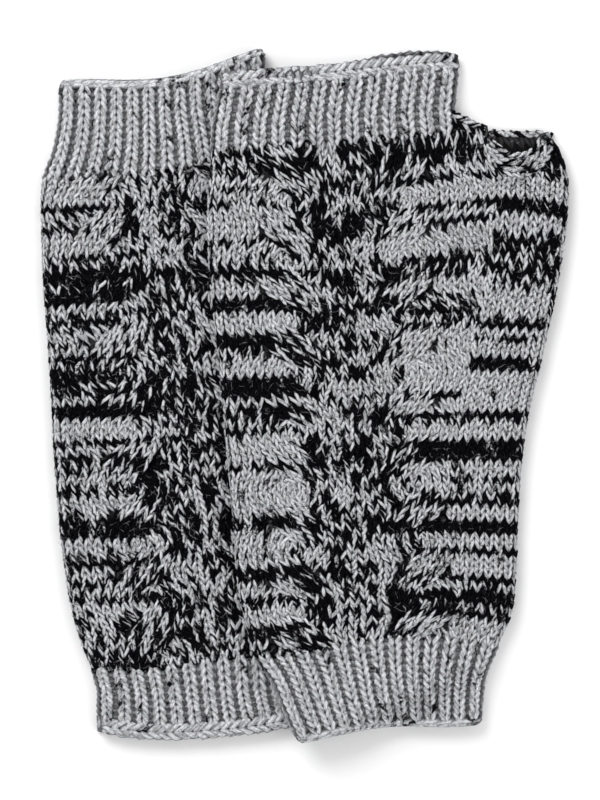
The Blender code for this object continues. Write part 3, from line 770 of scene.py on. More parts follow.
def finger_chain_beds(cloth):
    course = cloth.last + (EDGE_GAP + EDGE_HALF_LENGTH) / COURSE_PITCH
    return ring_beds(cloth, course, FINGER_RING, CHAIN_ROLL * cloth.ends[1], FOLD_TILT)


def cast_on_beds(cloth):
    return ring_beds(cloth, CAST_ON_COURSE, CAST_ON_RING, -CAST_ON_ROLL * cloth.ends[0])


THUMB_CHAIN_PITCH = 2.5
THUMB_CHAIN_DEPTH = 0.4
THUMB_PATH_STEPS = 240
THUMB_CORNER_INSET = 1.7
THUMB_LEVEL = 1.85
THUMB_CLIMB = 2.5
STRAND_CLIMB = 4
DIP_WIDTH = 0.8
LIP_WIDTH = 1.5
LIP_DROP = 0.9
THUMB_STRAND_START = 0.3
Strand = namedtuple("Strand", "scale_x scale_y height width thick shades")
THUMB_STRANDS = (
    Strand(1.0, 1.0, 0.0, 3.4, 0.72, (0.8, 0.35, 0.6, 0.9, 0.45)),
    Strand(1.05, 1.24, 1.15, 2.7, 0.58, (0.9, 0.75, 0.5, 1.0)),
    Strand(0.80, 0.72, -0.9, 2.9, 0.62, (0.9, 0.2, 0.8, 0.1)),
)


def thumb_path(mitt, strand):
    """The middle of one strand of the thumb's edge: an arc on the upper wall, a lip on the under one."""
    thumb = mitt.thumb
    turn = np.linspace(0, 2 * math.pi, THUMB_PATH_STEPS, endpoint=False)
    front = -np.sin(turn)
    dip = np.maximum(front, 0.0)
    lip = np.sqrt(np.maximum(-front, 0.0))
    x = thumb.x + thumb.half_x * strand.scale_x * np.cos(turn)
    y = thumb.y - mitt.way * (thumb.half_y * strand.scale_y * dip - (THUMB_LIP_SHIFT - LIP_DROP) * lip)
    corner, middle, distance = past_corner(mitt, x, y, CORNER_RADIUS - THUMB_CORNER_INSET)
    pull = np.maximum(corner, 0.0) / np.maximum(distance, 1.0)
    x = x - pull * (x - middle[0]) - CENTRE_X
    y = y - pull * (y - middle[1]) - CENTRE_Y
    z = FOLD_RADIUS + THUMB_LEVEL * np.clip(THUMB_CLIMB * front, -1.0, 1.0)
    z = z + strand.height * np.clip(STRAND_CLIMB * front, 0.0, 1.0)
    return np.stack([x, y, z], axis=-1), dip


def thumb_chain_beds(mitt):
    parts = []
    for strand in THUMB_STRANDS:
        dense, dips = thumb_path(mitt, strand)
        points = even_path(dense, THUMB_CHAIN_PITCH)
        dip = dips[nearest(dense, points)]
        out = np.tile((0.0, 0.0, 1.0), (len(points), 1))
        width = strand.width + DIP_WIDTH * dip + LIP_WIDTH * (dip <= 0)
        shades = repeated(strand.shades, len(points))
        beds = chain_beds(points, out, width, strand.thick, shades, THUMB_CHAIN_DEPTH)
        if strand is not THUMB_STRANDS[0]:
            beds = picked(beds, dip > THUMB_STRAND_START)
        parts.append(beds)
    return joined(parts)


SHOULDER_START = (48.6, 88.4)
SHOULDER_END = (56.2, 84.6)
SHOULDER_GAP = 0.4
SHOULDER_STEPS = 40
SHOULDER_TOP = LAYER - 1.3
SHOULDER_BASE = 1.5
SHOULDER_ROLL = 0.3
SHOULDER_PITCH = 2.3
SHOULDER_WIDTH = 4.6
SHOULDER_THICK = 0.66
SHOULDER_DEPTH = 0.5
SHOULDER_SHADES = (0.7, 0.3, 0.85, 0.45)


def shoulder_beds(mitt):
    """A short bound edge that slants from the finger rib down to the thumb's opening."""
    start = np.array(SHOULDER_START)
    end = np.array(SHOULDER_END)
    if mitt.covered:
        line = hand_line(mitt, BODY_END)
        start, end = line.place((RIB_SHARE, CROTCH_SHARE), 1.0) + SHOULDER_GAP * line.ahead
    side = end - start
    there = start + np.linspace(0, 1, SHOULDER_STEPS)[:, None] * side
    upper = np.column_stack([there, np.full(SHOULDER_STEPS, SHOULDER_TOP)])
    under = np.column_stack([there[::-1], np.full(SHOULDER_STEPS, SHOULDER_BASE)])
    points = even_path(np.vstack([upper, under]) - (CENTRE_X, CENTRE_Y, 0.0), SHOULDER_PITCH)
    out = np.where(points[:, 2:] > LAYER / 2, (0.0, 0.0, 1.0), (0.0, 0.0, -1.0))
    out = out + SHOULDER_ROLL * np.array((-side[1], side[0], 0.0)) / np.linalg.norm(side)
    shades = repeated(SHOULDER_SHADES, len(points))
    return chain_beds(points, out, SHOULDER_WIDTH, SHOULDER_THICK, shades, SHOULDER_DEPTH)


FIBRE_LENGTH = 2.0
LEAST_FIBRE = 0.4
FIBRE_RADIUS = 0.030
FIBRE_JITTER = 1.4
FIBRE_SCATTER = 0.25
FIBRE_ARCH = 0.35
FIBRE_SINK = 0.2
LIGHT_FIBRES = 0.62


def fibre_beds(beds, count, seed):
    """Loose fibres strewn over some stitches. Most are light, and the rest are dark."""
    source = np.random.default_rng(seed)
    picks = source.integers(0, len(beds.centre), count)
    out = unit(beds.out[picks] + FIBRE_SCATTER * source.standard_normal((count, 3)))
    aside = unit(np.cross(out, source.standard_normal((count, 3))))
    centre = beds.centre[picks] + FIBRE_JITTER * (source.random((count, 1)) - 0.5) * aside
    lift_off = beds.size[picks, 2:] + beds.thick[picks, None]
    centre = centre + unit(beds.out[picks]) * lift_off
    length = FIBRE_LENGTH * (LEAST_FIBRE + source.random(count))
    size = np.stack([length, length, FIBRE_ARCH * (source.random(count) - FIBRE_SINK)], axis=-1)
    shade = np.where(source.random(count) < LIGHT_FIBRES, 1.0, 0.0)
    return Beds(centre, aside, out, size, np.full(count, FIBRE_RADIUS), shade, shade, np.ones(count))


def new_object(name, data):
    obj = bpy.data.objects.new(name, data)
    bpy.context.scene.collection.objects.link(obj)
    return obj


def bed_object(name, beds):
    """A cloud of points, one for each loop, with its directions and sizes as attributes."""
    mesh = bpy.data.meshes.new(name)
    mesh.from_pydata([tuple(row) for row in beds.centre * MM], [], [])
    vectors = ("along", beds.along), ("out", beds.out), ("size", beds.size * MM)
    for key, values in vectors:
        attribute = mesh.attributes.new(key, "FLOAT_VECTOR", "POINT")
        attribute.data.foreach_set("vector", values.astype(np.float32).ravel())
    numbers = ("thick", beds.thick * MM), ("shade", beds.shade), ("shade_b", beds.shade_b), ("dim", beds.dim)
    for key, values in numbers:
        attribute = mesh.attributes.new(key, "FLOAT", "POINT")
        attribute.data.foreach_set("value", np.asarray(values, np.float32).ravel())
    return new_object(name, mesh)


class Graph:
    """Short forms for building a node tree."""

    def __init__(self, tree):
        self.tree = tree

    def put(self, socket, value):
        if isinstance(value, bpy.types.NodeSocket):
            self.tree.links.new(value, socket)
        else:
            socket.default_value = value

    def node(self, kind, settings=None, **inputs):
        made = self.tree.nodes.new(kind)
        for key, value in (settings or {}).items():
            setattr(made, key, value)
        for key, value in inputs.items():
            self.put(made.inputs[key.replace("_", " ")], value)
        return made

    def listed(self, kind, settings, values):
        """A node whose inputs take the values in order. It gives its first output."""
        made = self.node(kind, settings)
        for socket, value in zip(made.inputs, values):
            self.put(socket, value)
        return made.outputs[0]

    def math(self, operation, *values):
        return self.listed("ShaderNodeMath", {"operation": operation}, values)

    def chained(self, operation, total, *others):
        for value in others:
            total = self.math(operation, total, value)
        return total

    def times(self, *values):
        return self.chained("MULTIPLY", *values)

    def plus(self, *values):
        return self.chained("ADD", *values)

    def minus(self, first, second):
        return self.math("SUBTRACT", first, second)

    def xyz(self, *values):
        return self.listed("ShaderNodeCombineXYZ", None, values)

    def split(self, vector):
        return self.node("ShaderNodeSeparateXYZ", Vector=vector).outputs

    def attribute(self, name, output="Fac"):
        return self.node("ShaderNodeAttribute", {"attribute_name": name}).outputs[output]

    def noise(self, place, **inputs):
        return self.node("ShaderNodeTexNoise", Vector=place, **inputs).outputs[0]

    def range(self, value, low, high, to_low=0.0, to_high=1.0, soft=False):
        settings = {"interpolation_type": "SMOOTHSTEP" if soft else "LINEAR"}
        inputs = {"From_Min": low, "From_Max": high, "To_Min": to_low, "To_Max": to_high}
        return self.node("ShaderNodeMapRange", settings, Value=value, **inputs).outputs[0]

    def blend(self, factor, first, second, kind="MIX"):
        made = self.node("ShaderNodeMix", {"data_type": "RGBA", "blend_type": kind})
        self.put(made.inputs[0], factor)
        for socket, value in ((made.inputs[6], first), (made.inputs[7], second)):
            self.put(socket, value if isinstance(value, bpy.types.NodeSocket) else (*value, 1))
        return made.outputs[2]

    def shaded(self, tone, colour):
        return self.blend(1.0, colour, self.xyz(tone, tone, tone), "MULTIPLY")

    def bump(self, shader, height, strength, distance):
        made = self.node("ShaderNodeBump", Height=height, Strength=strength, Distance=distance)
        self.put(shader.inputs["Normal"], made.outputs[0])


def loop_shape(g, given, t):
    """A knitted loop: foot, leg, head, leg, foot. Its legs stand in front of its foot and its head."""
    twice = g.times(t, 4 * math.pi)
    x = g.plus(g.minus(t, 0.5), g.times(g.math("SINE", twice), given["Spread"]))
    y = g.times(g.math("COSINE", g.times(t, 2 * math.pi)), g.times(given["Reach"], -1.0))
    return g.xyz(x, g.minus(y, given["Drop"]), g.times(g.math("COSINE", twice), -1.0))


def fibre_shape(g, given, t):
    """A loose fibre: a low arch that swings to one side and back."""
    x = g.times(g.math("SINE", g.times(t, 2 * math.pi)), given["Spread"])
    y = g.times(g.minus(t, 0.5), given["Reach"])
    return g.xyz(x, y, g.math("SINE", g.times(t, math.pi)))


LOOP_NUMBERS = (("Spread", 0.2), ("Reach", 0.92), ("Drop", 0.25), ("Plumpness", 0.17), ("Unevenness", 0.13))
LOOP_COUNTS = (("Loop Points", 11), ("Yarn Sides", 6), ("Seed", 5))


def sweep_tree(name, shape):
    """Nodes that lay one short curve on each bed and sweep yarn or fibre along it."""
    tree = bpy.data.node_groups.new(name, "GeometryNodeTree")
    sockets = tree.interface
    sockets.new_socket("Geometry", in_out="INPUT", socket_type="NodeSocketGeometry")
    for kind, rows in (("NodeSocketFloat", LOOP_NUMBERS), ("NodeSocketInt", LOOP_COUNTS)):
        for label, value in rows:
            sockets.new_socket(label, in_out="INPUT", socket_type=kind).default_value = value
    sockets.new_socket("Material", in_out="INPUT", socket_type="NodeSocketMaterial")
    sockets.new_socket("Geometry", in_out="OUTPUT", socket_type="NodeSocketGeometry")
    g = Graph(tree)
    given = tree.nodes.new("NodeGroupInput").outputs

    def read(label, kind="FLOAT"):
        return g.node("GeometryNodeInputNamedAttribute", {"data_type": kind}, Name=label).outputs[0]

    def stored(geometry, label, value, kind="FLOAT"):
        made = g.node("GeometryNodeStoreNamedAttribute", {"data_type": kind}, Geometry=geometry, Name=label)
        g.put(made.inputs["Value"], value)
        return made.outputs[0]

    # One loop, as a curve that knows how far along it each point is.
    t = g.node("GeometryNodeSplineParameter").outputs["Factor"]
    line = g.node("GeometryNodeCurvePrimitiveLine").outputs["Curve"]
    line = g.node("GeometryNodeResampleCurve", Curve=line, Count=given["Loop Points"]).outputs["Curve"]
    loop = g.node("GeometryNodeSetPosition", Geometry=line, Position=shape(g, given, t)).outputs[0]
    loop = stored(loop, "turn", t)

    # A loop on each bed, turned to lie on it and a little uneven in size.
    axes = {"primary_axis": "Z", "secondary_axis": "Y"}
    out = read("out", "FLOAT_VECTOR")
    along = read("along", "FLOAT_VECTOR")
    rotation = g.node("FunctionNodeAxesToRotation", axes, Primary_Axis=out, Secondary_Axis=along).outputs[0]
    less = g.minus(1.0, given["Unevenness"])
    more = g.plus(1.0, given["Unevenness"])
    chance = g.node("FunctionNodeRandomValue", {"data_type": "FLOAT_VECTOR"}, Seed=given["Seed"])
    g.put(chance.inputs["Min"], g.xyz(less, less, less))
    g.put(chance.inputs["Max"], g.xyz(more, more, more))
    sizes = read("size", "FLOAT_VECTOR"), chance.outputs[0]
    scale = g.listed("ShaderNodeVectorMath", {"operation": "MULTIPLY"}, sizes)
    lucky = g.node("FunctionNodeRandomValue", {"data_type": "FLOAT"}, Seed=g.plus(given["Seed"], 1.0))
    points = g.node("GeometryNodeMeshToPoints", Mesh=given["Geometry"]).outputs[0]
    points = stored(points, "chance", lucky.outputs[1])
    inputs = {"Points": points, "Instance": loop, "Rotation": rotation, "Scale": scale}
    laid = g.node("GeometryNodeInstanceOnPoints", **inputs)
    loops = g.node("GeometryNodeRealizeInstances", Geometry=laid.outputs[0]).outputs[0]

    # Yarn round each loop, plumper at its legs.
    circle = g.node("GeometryNodeCurvePrimitiveCircle", Resolution=given["Yarn Sides"], Radius=1.0)
    position = g.node("GeometryNodeInputPosition").outputs[0]
    ring = stored(circle.outputs["Curve"], "ring", position, "FLOAT_VECTOR")
    fat = g.times(g.math("COSINE", g.times(read("turn"), 4 * math.pi)), given["Plumpness"])
    thick = g.times(read("thick"), g.minus(1.0, fat))
    yarn = g.node("GeometryNodeCurveToMesh", Curve=loops, Profile_Curve=ring, Scale=thick, Fill_Caps=True)
    yarn = g.node("GeometryNodeSetShadeSmooth", Geometry=yarn.outputs[0]).outputs[0]
    yarn = g.node("GeometryNodeRealizeInstances", Geometry=yarn).outputs[0]
    yarn = g.node("GeometryNodeSetMaterial", Geometry=yarn, Material=given["Material"]).outputs[0]
    g.put(tree.nodes.new("NodeGroupOutput").inputs[0], yarn)
    return tree


def input_name(tree, label):
    """The identifier of a node group's input, which a modifier's values go by."""
    for item in tree.interface.items_tree:
        if item.item_type == "SOCKET" and item.in_out == "INPUT" and item.name == label:
            return item.identifier
    raise KeyError(label)


REST_HEIGHT = 0.00005


def knit(name, beds, material, seed, tree_name="yarn loops", shape=loop_shape, **inputs):
    """Turns beds into a plain mesh of yarn loops or fibres."""
    tree = bpy.data.node_groups.get(tree_name) or sweep_tree(tree_name, shape)
    sizes = bpy.context.scene.glove_sizes
    source = bed_object(name + "_beds", beds)
    modifier = source.modifiers.new("loops", "NODES")
    modifier.node_group = tree
    values = {"Spread": sizes.loop_spread, "Reach": sizes.loop_reach, "Seed": seed, "Material": material}
    values.update({key.replace("_", " "): value for key, value in inputs.items()})
    for label, value in values.items():
        modifier[input_name(tree, label)] = value
    graph = bpy.context.evaluated_depsgraph_get()
    mesh = bpy.data.meshes.new_from_object(source.evaluated_get(graph), depsgraph=graph)
    mesh.name = name
    places = np.empty(3 * len(mesh.vertices), np.float32)
    mesh.vertices.foreach_get("co", places)
    places[2::3] = np.maximum(places[2::3], REST_HEIGHT)
    mesh.vertices.foreach_set("co", places)
    bpy.data.objects.remove(source, do_unlink=True)
    return new_object(name, mesh)


def new_material(name, roughness, specular):
    """A material whose shader has these settings, and short forms for its nodes."""
    material = bpy.data.materials.new(name)
    material.use_nodes = True
    shader = material.node_tree.nodes["Principled BSDF"]
    shader.inputs["Roughness"].default_value = roughness
    shader.inputs["Specular IOR Level"].default_value = specular
    return Graph(material.node_tree), shader


# How far the plies turn along a loop, how loops differ in it, and the noise that makes their fibres.
PLY_TWIST = 9.0
LOOP_TURN = 6.3
FIBRE_RUN = 5.0
LOOP_RUN = 40.0
FIBRES_ROUND = 2.6
FIBRE_NOISE = {"Scale": 2.4, "Detail": 4.0, "Roughness": 0.75}
CLOUD_NOISE = {"Scale": 900.0, "Detail": 3.0, "Roughness": 0.7}
CLOUD_SWING = 0.5
PLY_SHARPNESS = 4.0
PLY_SWING = 0.34
GROOVE_POWER = 0.5
# Painted shade in the groove between the plies: the tone drawn there, and how much lighter the ply tops are
# drawn.
GROOVE_SHADE_TONE = 0.35
GROOVE_SHADE_LIFT = 0.75
GROOVE_RELIEF = 0.7
FIBRE_RELIEF = 1.1
YARN_BUMP = (0.8, 0.0003)
# Light stray fibres on the black yarn. They show only where the yarn faces out: partly fibre colour, partly
# painted sheen.
STRAY_FIBRE_AND_SHEEN = (0.16, 0.16, 0.17)

# Where each effect starts and is full. The streaks' last two numbers are their darkest and lightest tone.
GREY_RANGE = (0.44, 0.56)
STREAK_RANGE = (0.34, 0.64, 0.22, 1.50)
FLECK_RANGE = (0.36, 0.47)
# Painted shadow at the yarn's sides and at the loop's ends.
FACING_SHADE_RANGE = (0.22, 0.92)
LOOP_END_SHADE_RANGE = (-0.80, 0.30)
STRAY_RANGE = (0.60, 0.74)


def yarn_material(name, light, dark, flecks, shadow):
    """Two-ply wool. The shade says which plies are grey, and fine fibres run along the twist."""
    g, shader = new_material(name, roughness=0.9, specular=0.03)
    turn = g.attribute("turn")
    chance = g.attribute("chance")

    # Places round the yarn, which turn with its twist, and noise that runs along it.
    angle = g.plus(g.times(turn, PLY_TWIST), g.times(chance, LOOP_TURN))
    ring = g.attribute("ring", "Vector")
    twist = g.node("ShaderNodeVectorRotate", {"rotation_type": "Z_AXIS"}, Vector=ring, Angle=angle)
    first, second, _ = g.split(twist.outputs[0])
    run = g.plus(g.times(turn, FIBRE_RUN), g.times(chance, LOOP_RUN))
    place = g.xyz(g.times(first, FIBRES_ROUND), g.times(second, FIBRES_ROUND), run)
    fibres = g.noise(place, **FIBRE_NOISE)
    places = g.node("ShaderNodeTexCoord").outputs["Object"]
    cloud = g.noise(places, **CLOUD_NOISE)

    # Which ply is grey: the leg's own shade, moved one way on one ply and the other way on the other.
    left_leg = g.math("LESS_THAN", turn, 0.5)
    shade = g.times(g.attribute("shade"), left_leg)
    other = g.times(g.attribute("shade_b"), g.minus(1.0, left_leg))
    patches = g.times(g.minus(cloud, 0.5), CLOUD_SWING)
    plies = g.times(g.math("TANH", g.times(second, PLY_SHARPNESS)), PLY_SWING)
    mask = g.range(g.plus(shade, other, patches, plies), *GREY_RANGE, soft=True)

    # Light and dark: streaks, flecks, and painted shade in the groove between plies and at the loop's sides
    # and ends.
    groove = g.math("POWER", g.math("ABSOLUTE", second), GROOVE_POWER)
    streak = g.range(fibres, *STREAK_RANGE)
    fleck = g.range(cloud, *FLECK_RANGE, 1.0 - flecks, 1.0)
    # Painted shadow at the yarn's sides, where its surface turns away from the loop's out direction.
    normal = g.node("ShaderNodeNewGeometry").outputs["Normal"]
    facing = g.node("ShaderNodeVectorMath", {"operation": "DOT_PRODUCT"})
    g.put(facing.inputs[0], normal)
    g.put(facing.inputs[1], g.attribute("out", "Vector"))
    facing_shade = g.range(facing.outputs["Value"], *FACING_SHADE_RANGE, shadow, 1.0, True)
    # Painted shadow at the loop's foot and head, which lie behind the legs.
    front = g.times(g.math("COSINE", g.times(turn, 4 * math.pi)), -1.0)
    leg = g.range(front, *LOOP_END_SHADE_RANGE, shadow, 1.0, True)
    # Painted shade: the yarn is darkest in the groove between its plies.
    tone = g.times(streak, g.plus(GROOVE_SHADE_TONE, g.times(groove, GROOVE_SHADE_LIFT)))
    # Then the flecks, the painted shadows, and the painted shade on the ribs' turned loops in their valleys.
    tone = g.times(tone, fleck, g.times(facing_shade, leg), g.attribute("dim"))

    # Light stray fibres on the black, kept to where the yarn faces out: partly real fibres, partly painted
    # sheen.
    stray = g.range(fibres, *STRAY_RANGE)
    black = g.blend(g.times(stray, facing_shade), dark, STRAY_FIBRE_AND_SHEEN)
    g.put(shader.inputs["Base Color"], g.blend(mask, black, g.shaded(tone, light)))
    relief = g.plus(g.times(groove, GROOVE_RELIEF), g.times(fibres, FIBRE_RELIEF))
    g.bump(shader, relief, *YARN_BUMP)


# The ground's stitches: the slant of their legs, their relief and the painted shade in its low parts, and
# how its rows of black and grey run.
LEG_SLANT = 1.6
LEG_POWER = 0.6
SIDE_POWER = 0.5
WALE_RUN = 0.04
ROW_RUN = 0.63
DARK_RANGE = (0.46, 0.52)
RELIEF_SHADE_TONE = 0.25
RELIEF_SHADE_LIFT = 0.75
FABRIC_BUMP = (0.9, 0.0006)


def fabric_material(name, light, dark):
    """The knit ground behind the loops. It shows its own stitches in low relief on the underside, with
    painted shade in the relief's low parts.
    """
    g, shader = new_material(name, roughness=0.95, specular=0.1)
    wales, courses, _ = g.split(g.node("ShaderNodeUVMap", {"uv_map": "knit"}).outputs[0])
    row = g.minus(courses, g.times(g.math("PINGPONG", wales, 0.5), LEG_SLANT))
    leg = g.math("ABSOLUTE", g.math("SINE", g.times(row, math.pi)))
    side = g.math("ABSOLUTE", g.math("SINE", g.times(wales, 2 * math.pi)))
    height = g.times(g.math("POWER", leg, LEG_POWER), g.math("POWER", side, SIDE_POWER))
    place = g.xyz(g.times(wales, WALE_RUN), g.times(g.math("FLOOR", row), ROW_RUN), 0.0)
    mask = g.range(g.noise(place, Scale=1.0, Detail=1.0), *DARK_RANGE)
    # Painted shade: the ground is drawn darker where its relief is low.
    tone = g.plus(RELIEF_SHADE_TONE, g.times(height, RELIEF_SHADE_LIFT))
    g.put(shader.inputs["Base Color"], g.shaded(tone, g.blend(mask, dark, light)))
    g.bump(shader, height, *FABRIC_BUMP)


def fibre_material(name, light, dark):
    g, shader = new_material(name, roughness=0.8, specular=0.1)
    g.put(shader.inputs["Base Color"], g.blend(g.attribute("shade"), dark, light))


Fabric = namedtuple("Fabric", "name light dark")
# The grounds behind the loops and the hand's inside are darker copies of the undersides' wool: painted shade
# under the loops and inside the tube.
FABRICS = (
    Fabric("hand ground", (0.05, 0.05, 0.056), (0.006, 0.006, 0.008)),
    Fabric("hand underside", (0.46, 0.46, 0.48), (0.006, 0.006, 0.008)),
    Fabric("hand inside", (0.030, 0.030, 0.032), (0.006, 0.006, 0.007)),
    Fabric("rib ground", (0.40, 0.40, 0.41), (0.32, 0.32, 0.33)),
    Fabric("rib underside", (0.52, 0.52, 0.545), (0.44, 0.44, 0.46)),
)


def palette():
    """The gloves' materials, made once."""
    colours = bpy.context.scene.glove_colours
    if "hand yarn" not in bpy.data.materials:
        yarn_material("hand yarn", colours.grey, colours.black, flecks=0.75, shadow=0.10)
        yarn_material("rib yarn", colours.rib_grey, colours.black, flecks=0.50, shadow=0.34)
        fibre_material("loose fibre", (0.34, 0.34, 0.36), (0.010, 0.010, 0.012))
        for fabric in FABRICS:
            fabric_material(*fabric)
    return bpy.data.materials


GROUND_PLANE = -1.55
RIB_GROUND_PLANE = -2.05
UNDER_PLANE = -0.12
PLANE_RUN = 3.0
GROUND_WALL = 0.6
INNER_GAP = 0.1
RIM_INSET = 0.35
HAND_TUCK = 0.4
HAND_ROWS = 93
HAND_COLUMNS = 84
RIB_COLUMNS = 72


def thumb_cut(mitt, outer, past):
    """Which cells of the hand's ground the thumb's opening takes away."""
    beside = np.roll(outer, -1, axis=1)
    centre = (outer[:-1] + outer[1:] + beside[:-1] + beside[1:]) / 4
    upper = ~past[:-1] & ~past[1:] & (centre[..., 2] > LAYER / 2)
    within, outside = thumb_zones(mitt, centre, GROUND_OPENING)
    return outside | (upper & within)


def add_ground(name, cloth, courses, columns, plane, has_thumb, *materials):
    """A closed wall of fabric round one tube. Its materials are for its upper, inner and under sides."""
    girth = cloth.girth(courses)[:, None]
    total = girth + 2 * QUARTER + (cloth.width(courses)[:, None] - 2 * FOLD_RADIUS)
    s = -QUARTER + np.linspace(0, 1, columns, endpoint=False)[None] * total
    past = s > girth + QUARTER
    near = np.clip(np.minimum(s + QUARTER, girth + QUARTER - s) / PLANE_RUN, 0, 1)
    offset = UNDER_PLANE + (plane - UNDER_PLANE) * np.where(past, 0.0, near)
    grid = np.broadcast_to(courses[:, None], s.shape)
    outer = cloth.point(s, grid, offset)
    inner = cloth.point(s, grid, np.minimum(offset - GROUND_WALL, INNER_GAP - WALL))
    rows = len(courses)
    keep = ~thumb_cut(cloth.mitt, outer, past) if has_thumb else np.ones((rows - 1, columns), bool)
    wales = total.mean() / WALE_PITCH
    flip = cloth.mitt.way > 0
    faces = []
    uvs = []
    slots = []

    def add_quad(corners, layers, turned, slot):
        way = -1 if turned else 1
        places = list(zip(corners, layers))[::way]
        faces.append([(layer * rows + row) * columns + column % columns for (row, column), layer in places])
        uvs.extend((column / columns * wales, courses[row]) for (row, column), _ in places)
        slots.append(slot)

    for row, column in np.argwhere(keep).tolist():
        cell = (row, column), (row + 1, column), (row + 1, column + 1), (row, column + 1)
        add_quad(cell, (0, 0, 0, 0), flip, 2 if past[row, column] else 0)
        add_quad(cell, (1, 1, 1, 1), not flip, 1)
        beside = (row, column - 1), (row + 1, column), (row, column + 1), (row - 1, column)
        for k, (next_row, next_column) in enumerate(beside):
            if not (0 <= next_row < rows - 1 and keep[next_row, next_column % columns]):
                start, end = cell[k], cell[(k + 1) % 4]
                add_quad((end, start, start, end), (0, 0, 1, 1), flip, 0)
    used, corners = np.unique(faces, return_inverse=True)
    points = np.concatenate([outer.reshape(-1, 3), inner.reshape(-1, 3)])[used] * MM
    mesh = bpy.data.meshes.new(name)
    mesh.from_pydata(points.tolist(), [], corners.reshape(-1, 4).tolist())
    mesh.uv_layers.new(name="knit").data.foreach_set("uv", np.array(uvs, np.float32).ravel())
    mesh.polygons.foreach_set("use_smooth", [True] * len(mesh.polygons))
    for material in materials:
        mesh.materials.append(material)
    mesh.polygons.foreach_set("material_index", slots)
    return new_object(name, mesh)


def finish_piece(obj, slot, *nodes):
    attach(obj, "root")
    if nodes:
        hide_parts(*nodes)
    return obj


FIBRE_INPUTS = {
    "Spread": 0.07,
    "Reach": 1.0,
    "Plumpness": 0.0,
    "Unevenness": 0.2,
    "Loop_Points": 4,
    "Yarn_Sides": 3,
}
Fuzz = namedtuple("Fuzz", "fibres place_seed size_seed")
HAND_FUZZ = Fuzz(3200, 73, 67)
RIB_FUZZ = Fuzz(450, 71, 61)


def add_fuzz(name, beds, fuzz, slot):
    """Loose fibres over the stitches of one part of a glove."""
    strewn = fibre_beds(beds, fuzz.fibres, fuzz.place_seed)
    fibre = palette()["loose fibre"]
    piece = knit(name, strewn, fibre, fuzz.size_seed, "loose fibres", fibre_shape, **FIBRE_INPUTS)
    finish_piece(piece, slot)


PIECE_LOOPS = 1200
HAND_SEED = 5


class GLOVES_OT_hands(bpy.types.Operator):
    """Knits both hands in rows of black and grey yarn, with two cables each"""

    bl_idname = "gloves.hands"
    bl_label = "Hands"

    def execute(self, context):
        found = palette()
        looks = found["hand ground"], found["hand inside"], found["hand underside"]
        courses = np.linspace(BODY_START - HAND_TUCK, BODY_END, HAND_ROWS)
        for mitt in (LOWER, UPPER):
            name = mitt.name + "_hand"
            cloth = Cloth(mitt, hand_line, 0, BODY_END)
            ground = add_ground(name + "_ground", cloth, courses, HAND_COLUMNS, GROUND_PLANE, True, *looks)
            finish_piece(ground, "marl_knit", name)
            beds = hand_beds(cloth)
            order = np.argsort(beds.centre[:, 1])
            for i, part in enumerate(np.array_split(order, math.ceil(len(order) / PIECE_LOOPS))):
                label = f"{name}_stitches_{i + 1}"
                piece = knit(label, picked(beds, part), found["hand yarn"], HAND_SEED + i)
                finish_piece(piece, "marl_knit")
            add_fuzz(name + "_fuzz", beds, HAND_FUZZ, "marl_knit")
        return {"FINISHED"}


RIB_SEED = 31
RIB_SPREAD = 0.255
RIB_UNEVENNESS = 0.07


class GLOVES_OT_ribs(bpy.types.Operator):
    """Knits the ribbed cuffs at the wrists and the fingers"""

    bl_idname = "gloves.ribs"
    bl_label = "Ribbed cuffs"

    def execute(self, context):
        found = palette()
        looks = found["rib ground"], found["rib ground"], found["rib underside"]
        inputs = {"Spread": RIB_SPREAD, "Unevenness": RIB_UNEVENNESS}
        for mitt in (LOWER, UPPER):
            wrist = Cloth(mitt, hand_line, 0, BODY_START)
            fingers = Cloth(mitt, finger_line, BODY_END, FINGER_END)
            for kind, cloth, first, last, inset, flat in (
                ("wrist", wrist, 1, BODY_START, RIM_INSET, (0.156, 0.028)),
                ("finger", fingers, BODY_END, FINGER_END + 1, 0, (0.166, 0.020)),
            ):
                name = f"{mitt.name}_{kind}_rib"
                courses = np.linspace(cloth.first + inset, cloth.last, 2 * (cloth.last - cloth.first) + 1)
                ground = add_ground(
                    name + "_ground", cloth, courses, RIB_COLUMNS, RIB_GROUND_PLANE, False, *looks
                )
                finish_piece(ground, "grey_rib", name)
                beds = rib_beds(cloth, first, last)
                stitches = knit(name + "_stitches", beds, found["rib yarn"], RIB_SEED, **inputs)
                finish_piece(stitches, "grey_rib")
                add_fuzz(name + "_fuzz", beds, RIB_FUZZ, "grey_rib")
        return {"FINISHED"}


# The chains along the edges. Where no spread is given, the loops have the hand's, and where no solid is
# named, the chain lies on one that another piece stands for.
Edge = namedtuple("Edge", "name yarn seed spread slot solid")
EDGES = (
    Edge("finger_chain", "rib yarn", 41, 0.33, "grey_edge", "finger_edge"),
    Edge("thumb_chain", "hand yarn", 43, None, "marl_edge", "thumb_edge"),
    Edge("shoulder", "hand yarn", 45, 0.3, "marl_edge", None),
    Edge("cast_on", "rib yarn", 47, 0.1, "grey_rib", None),
)


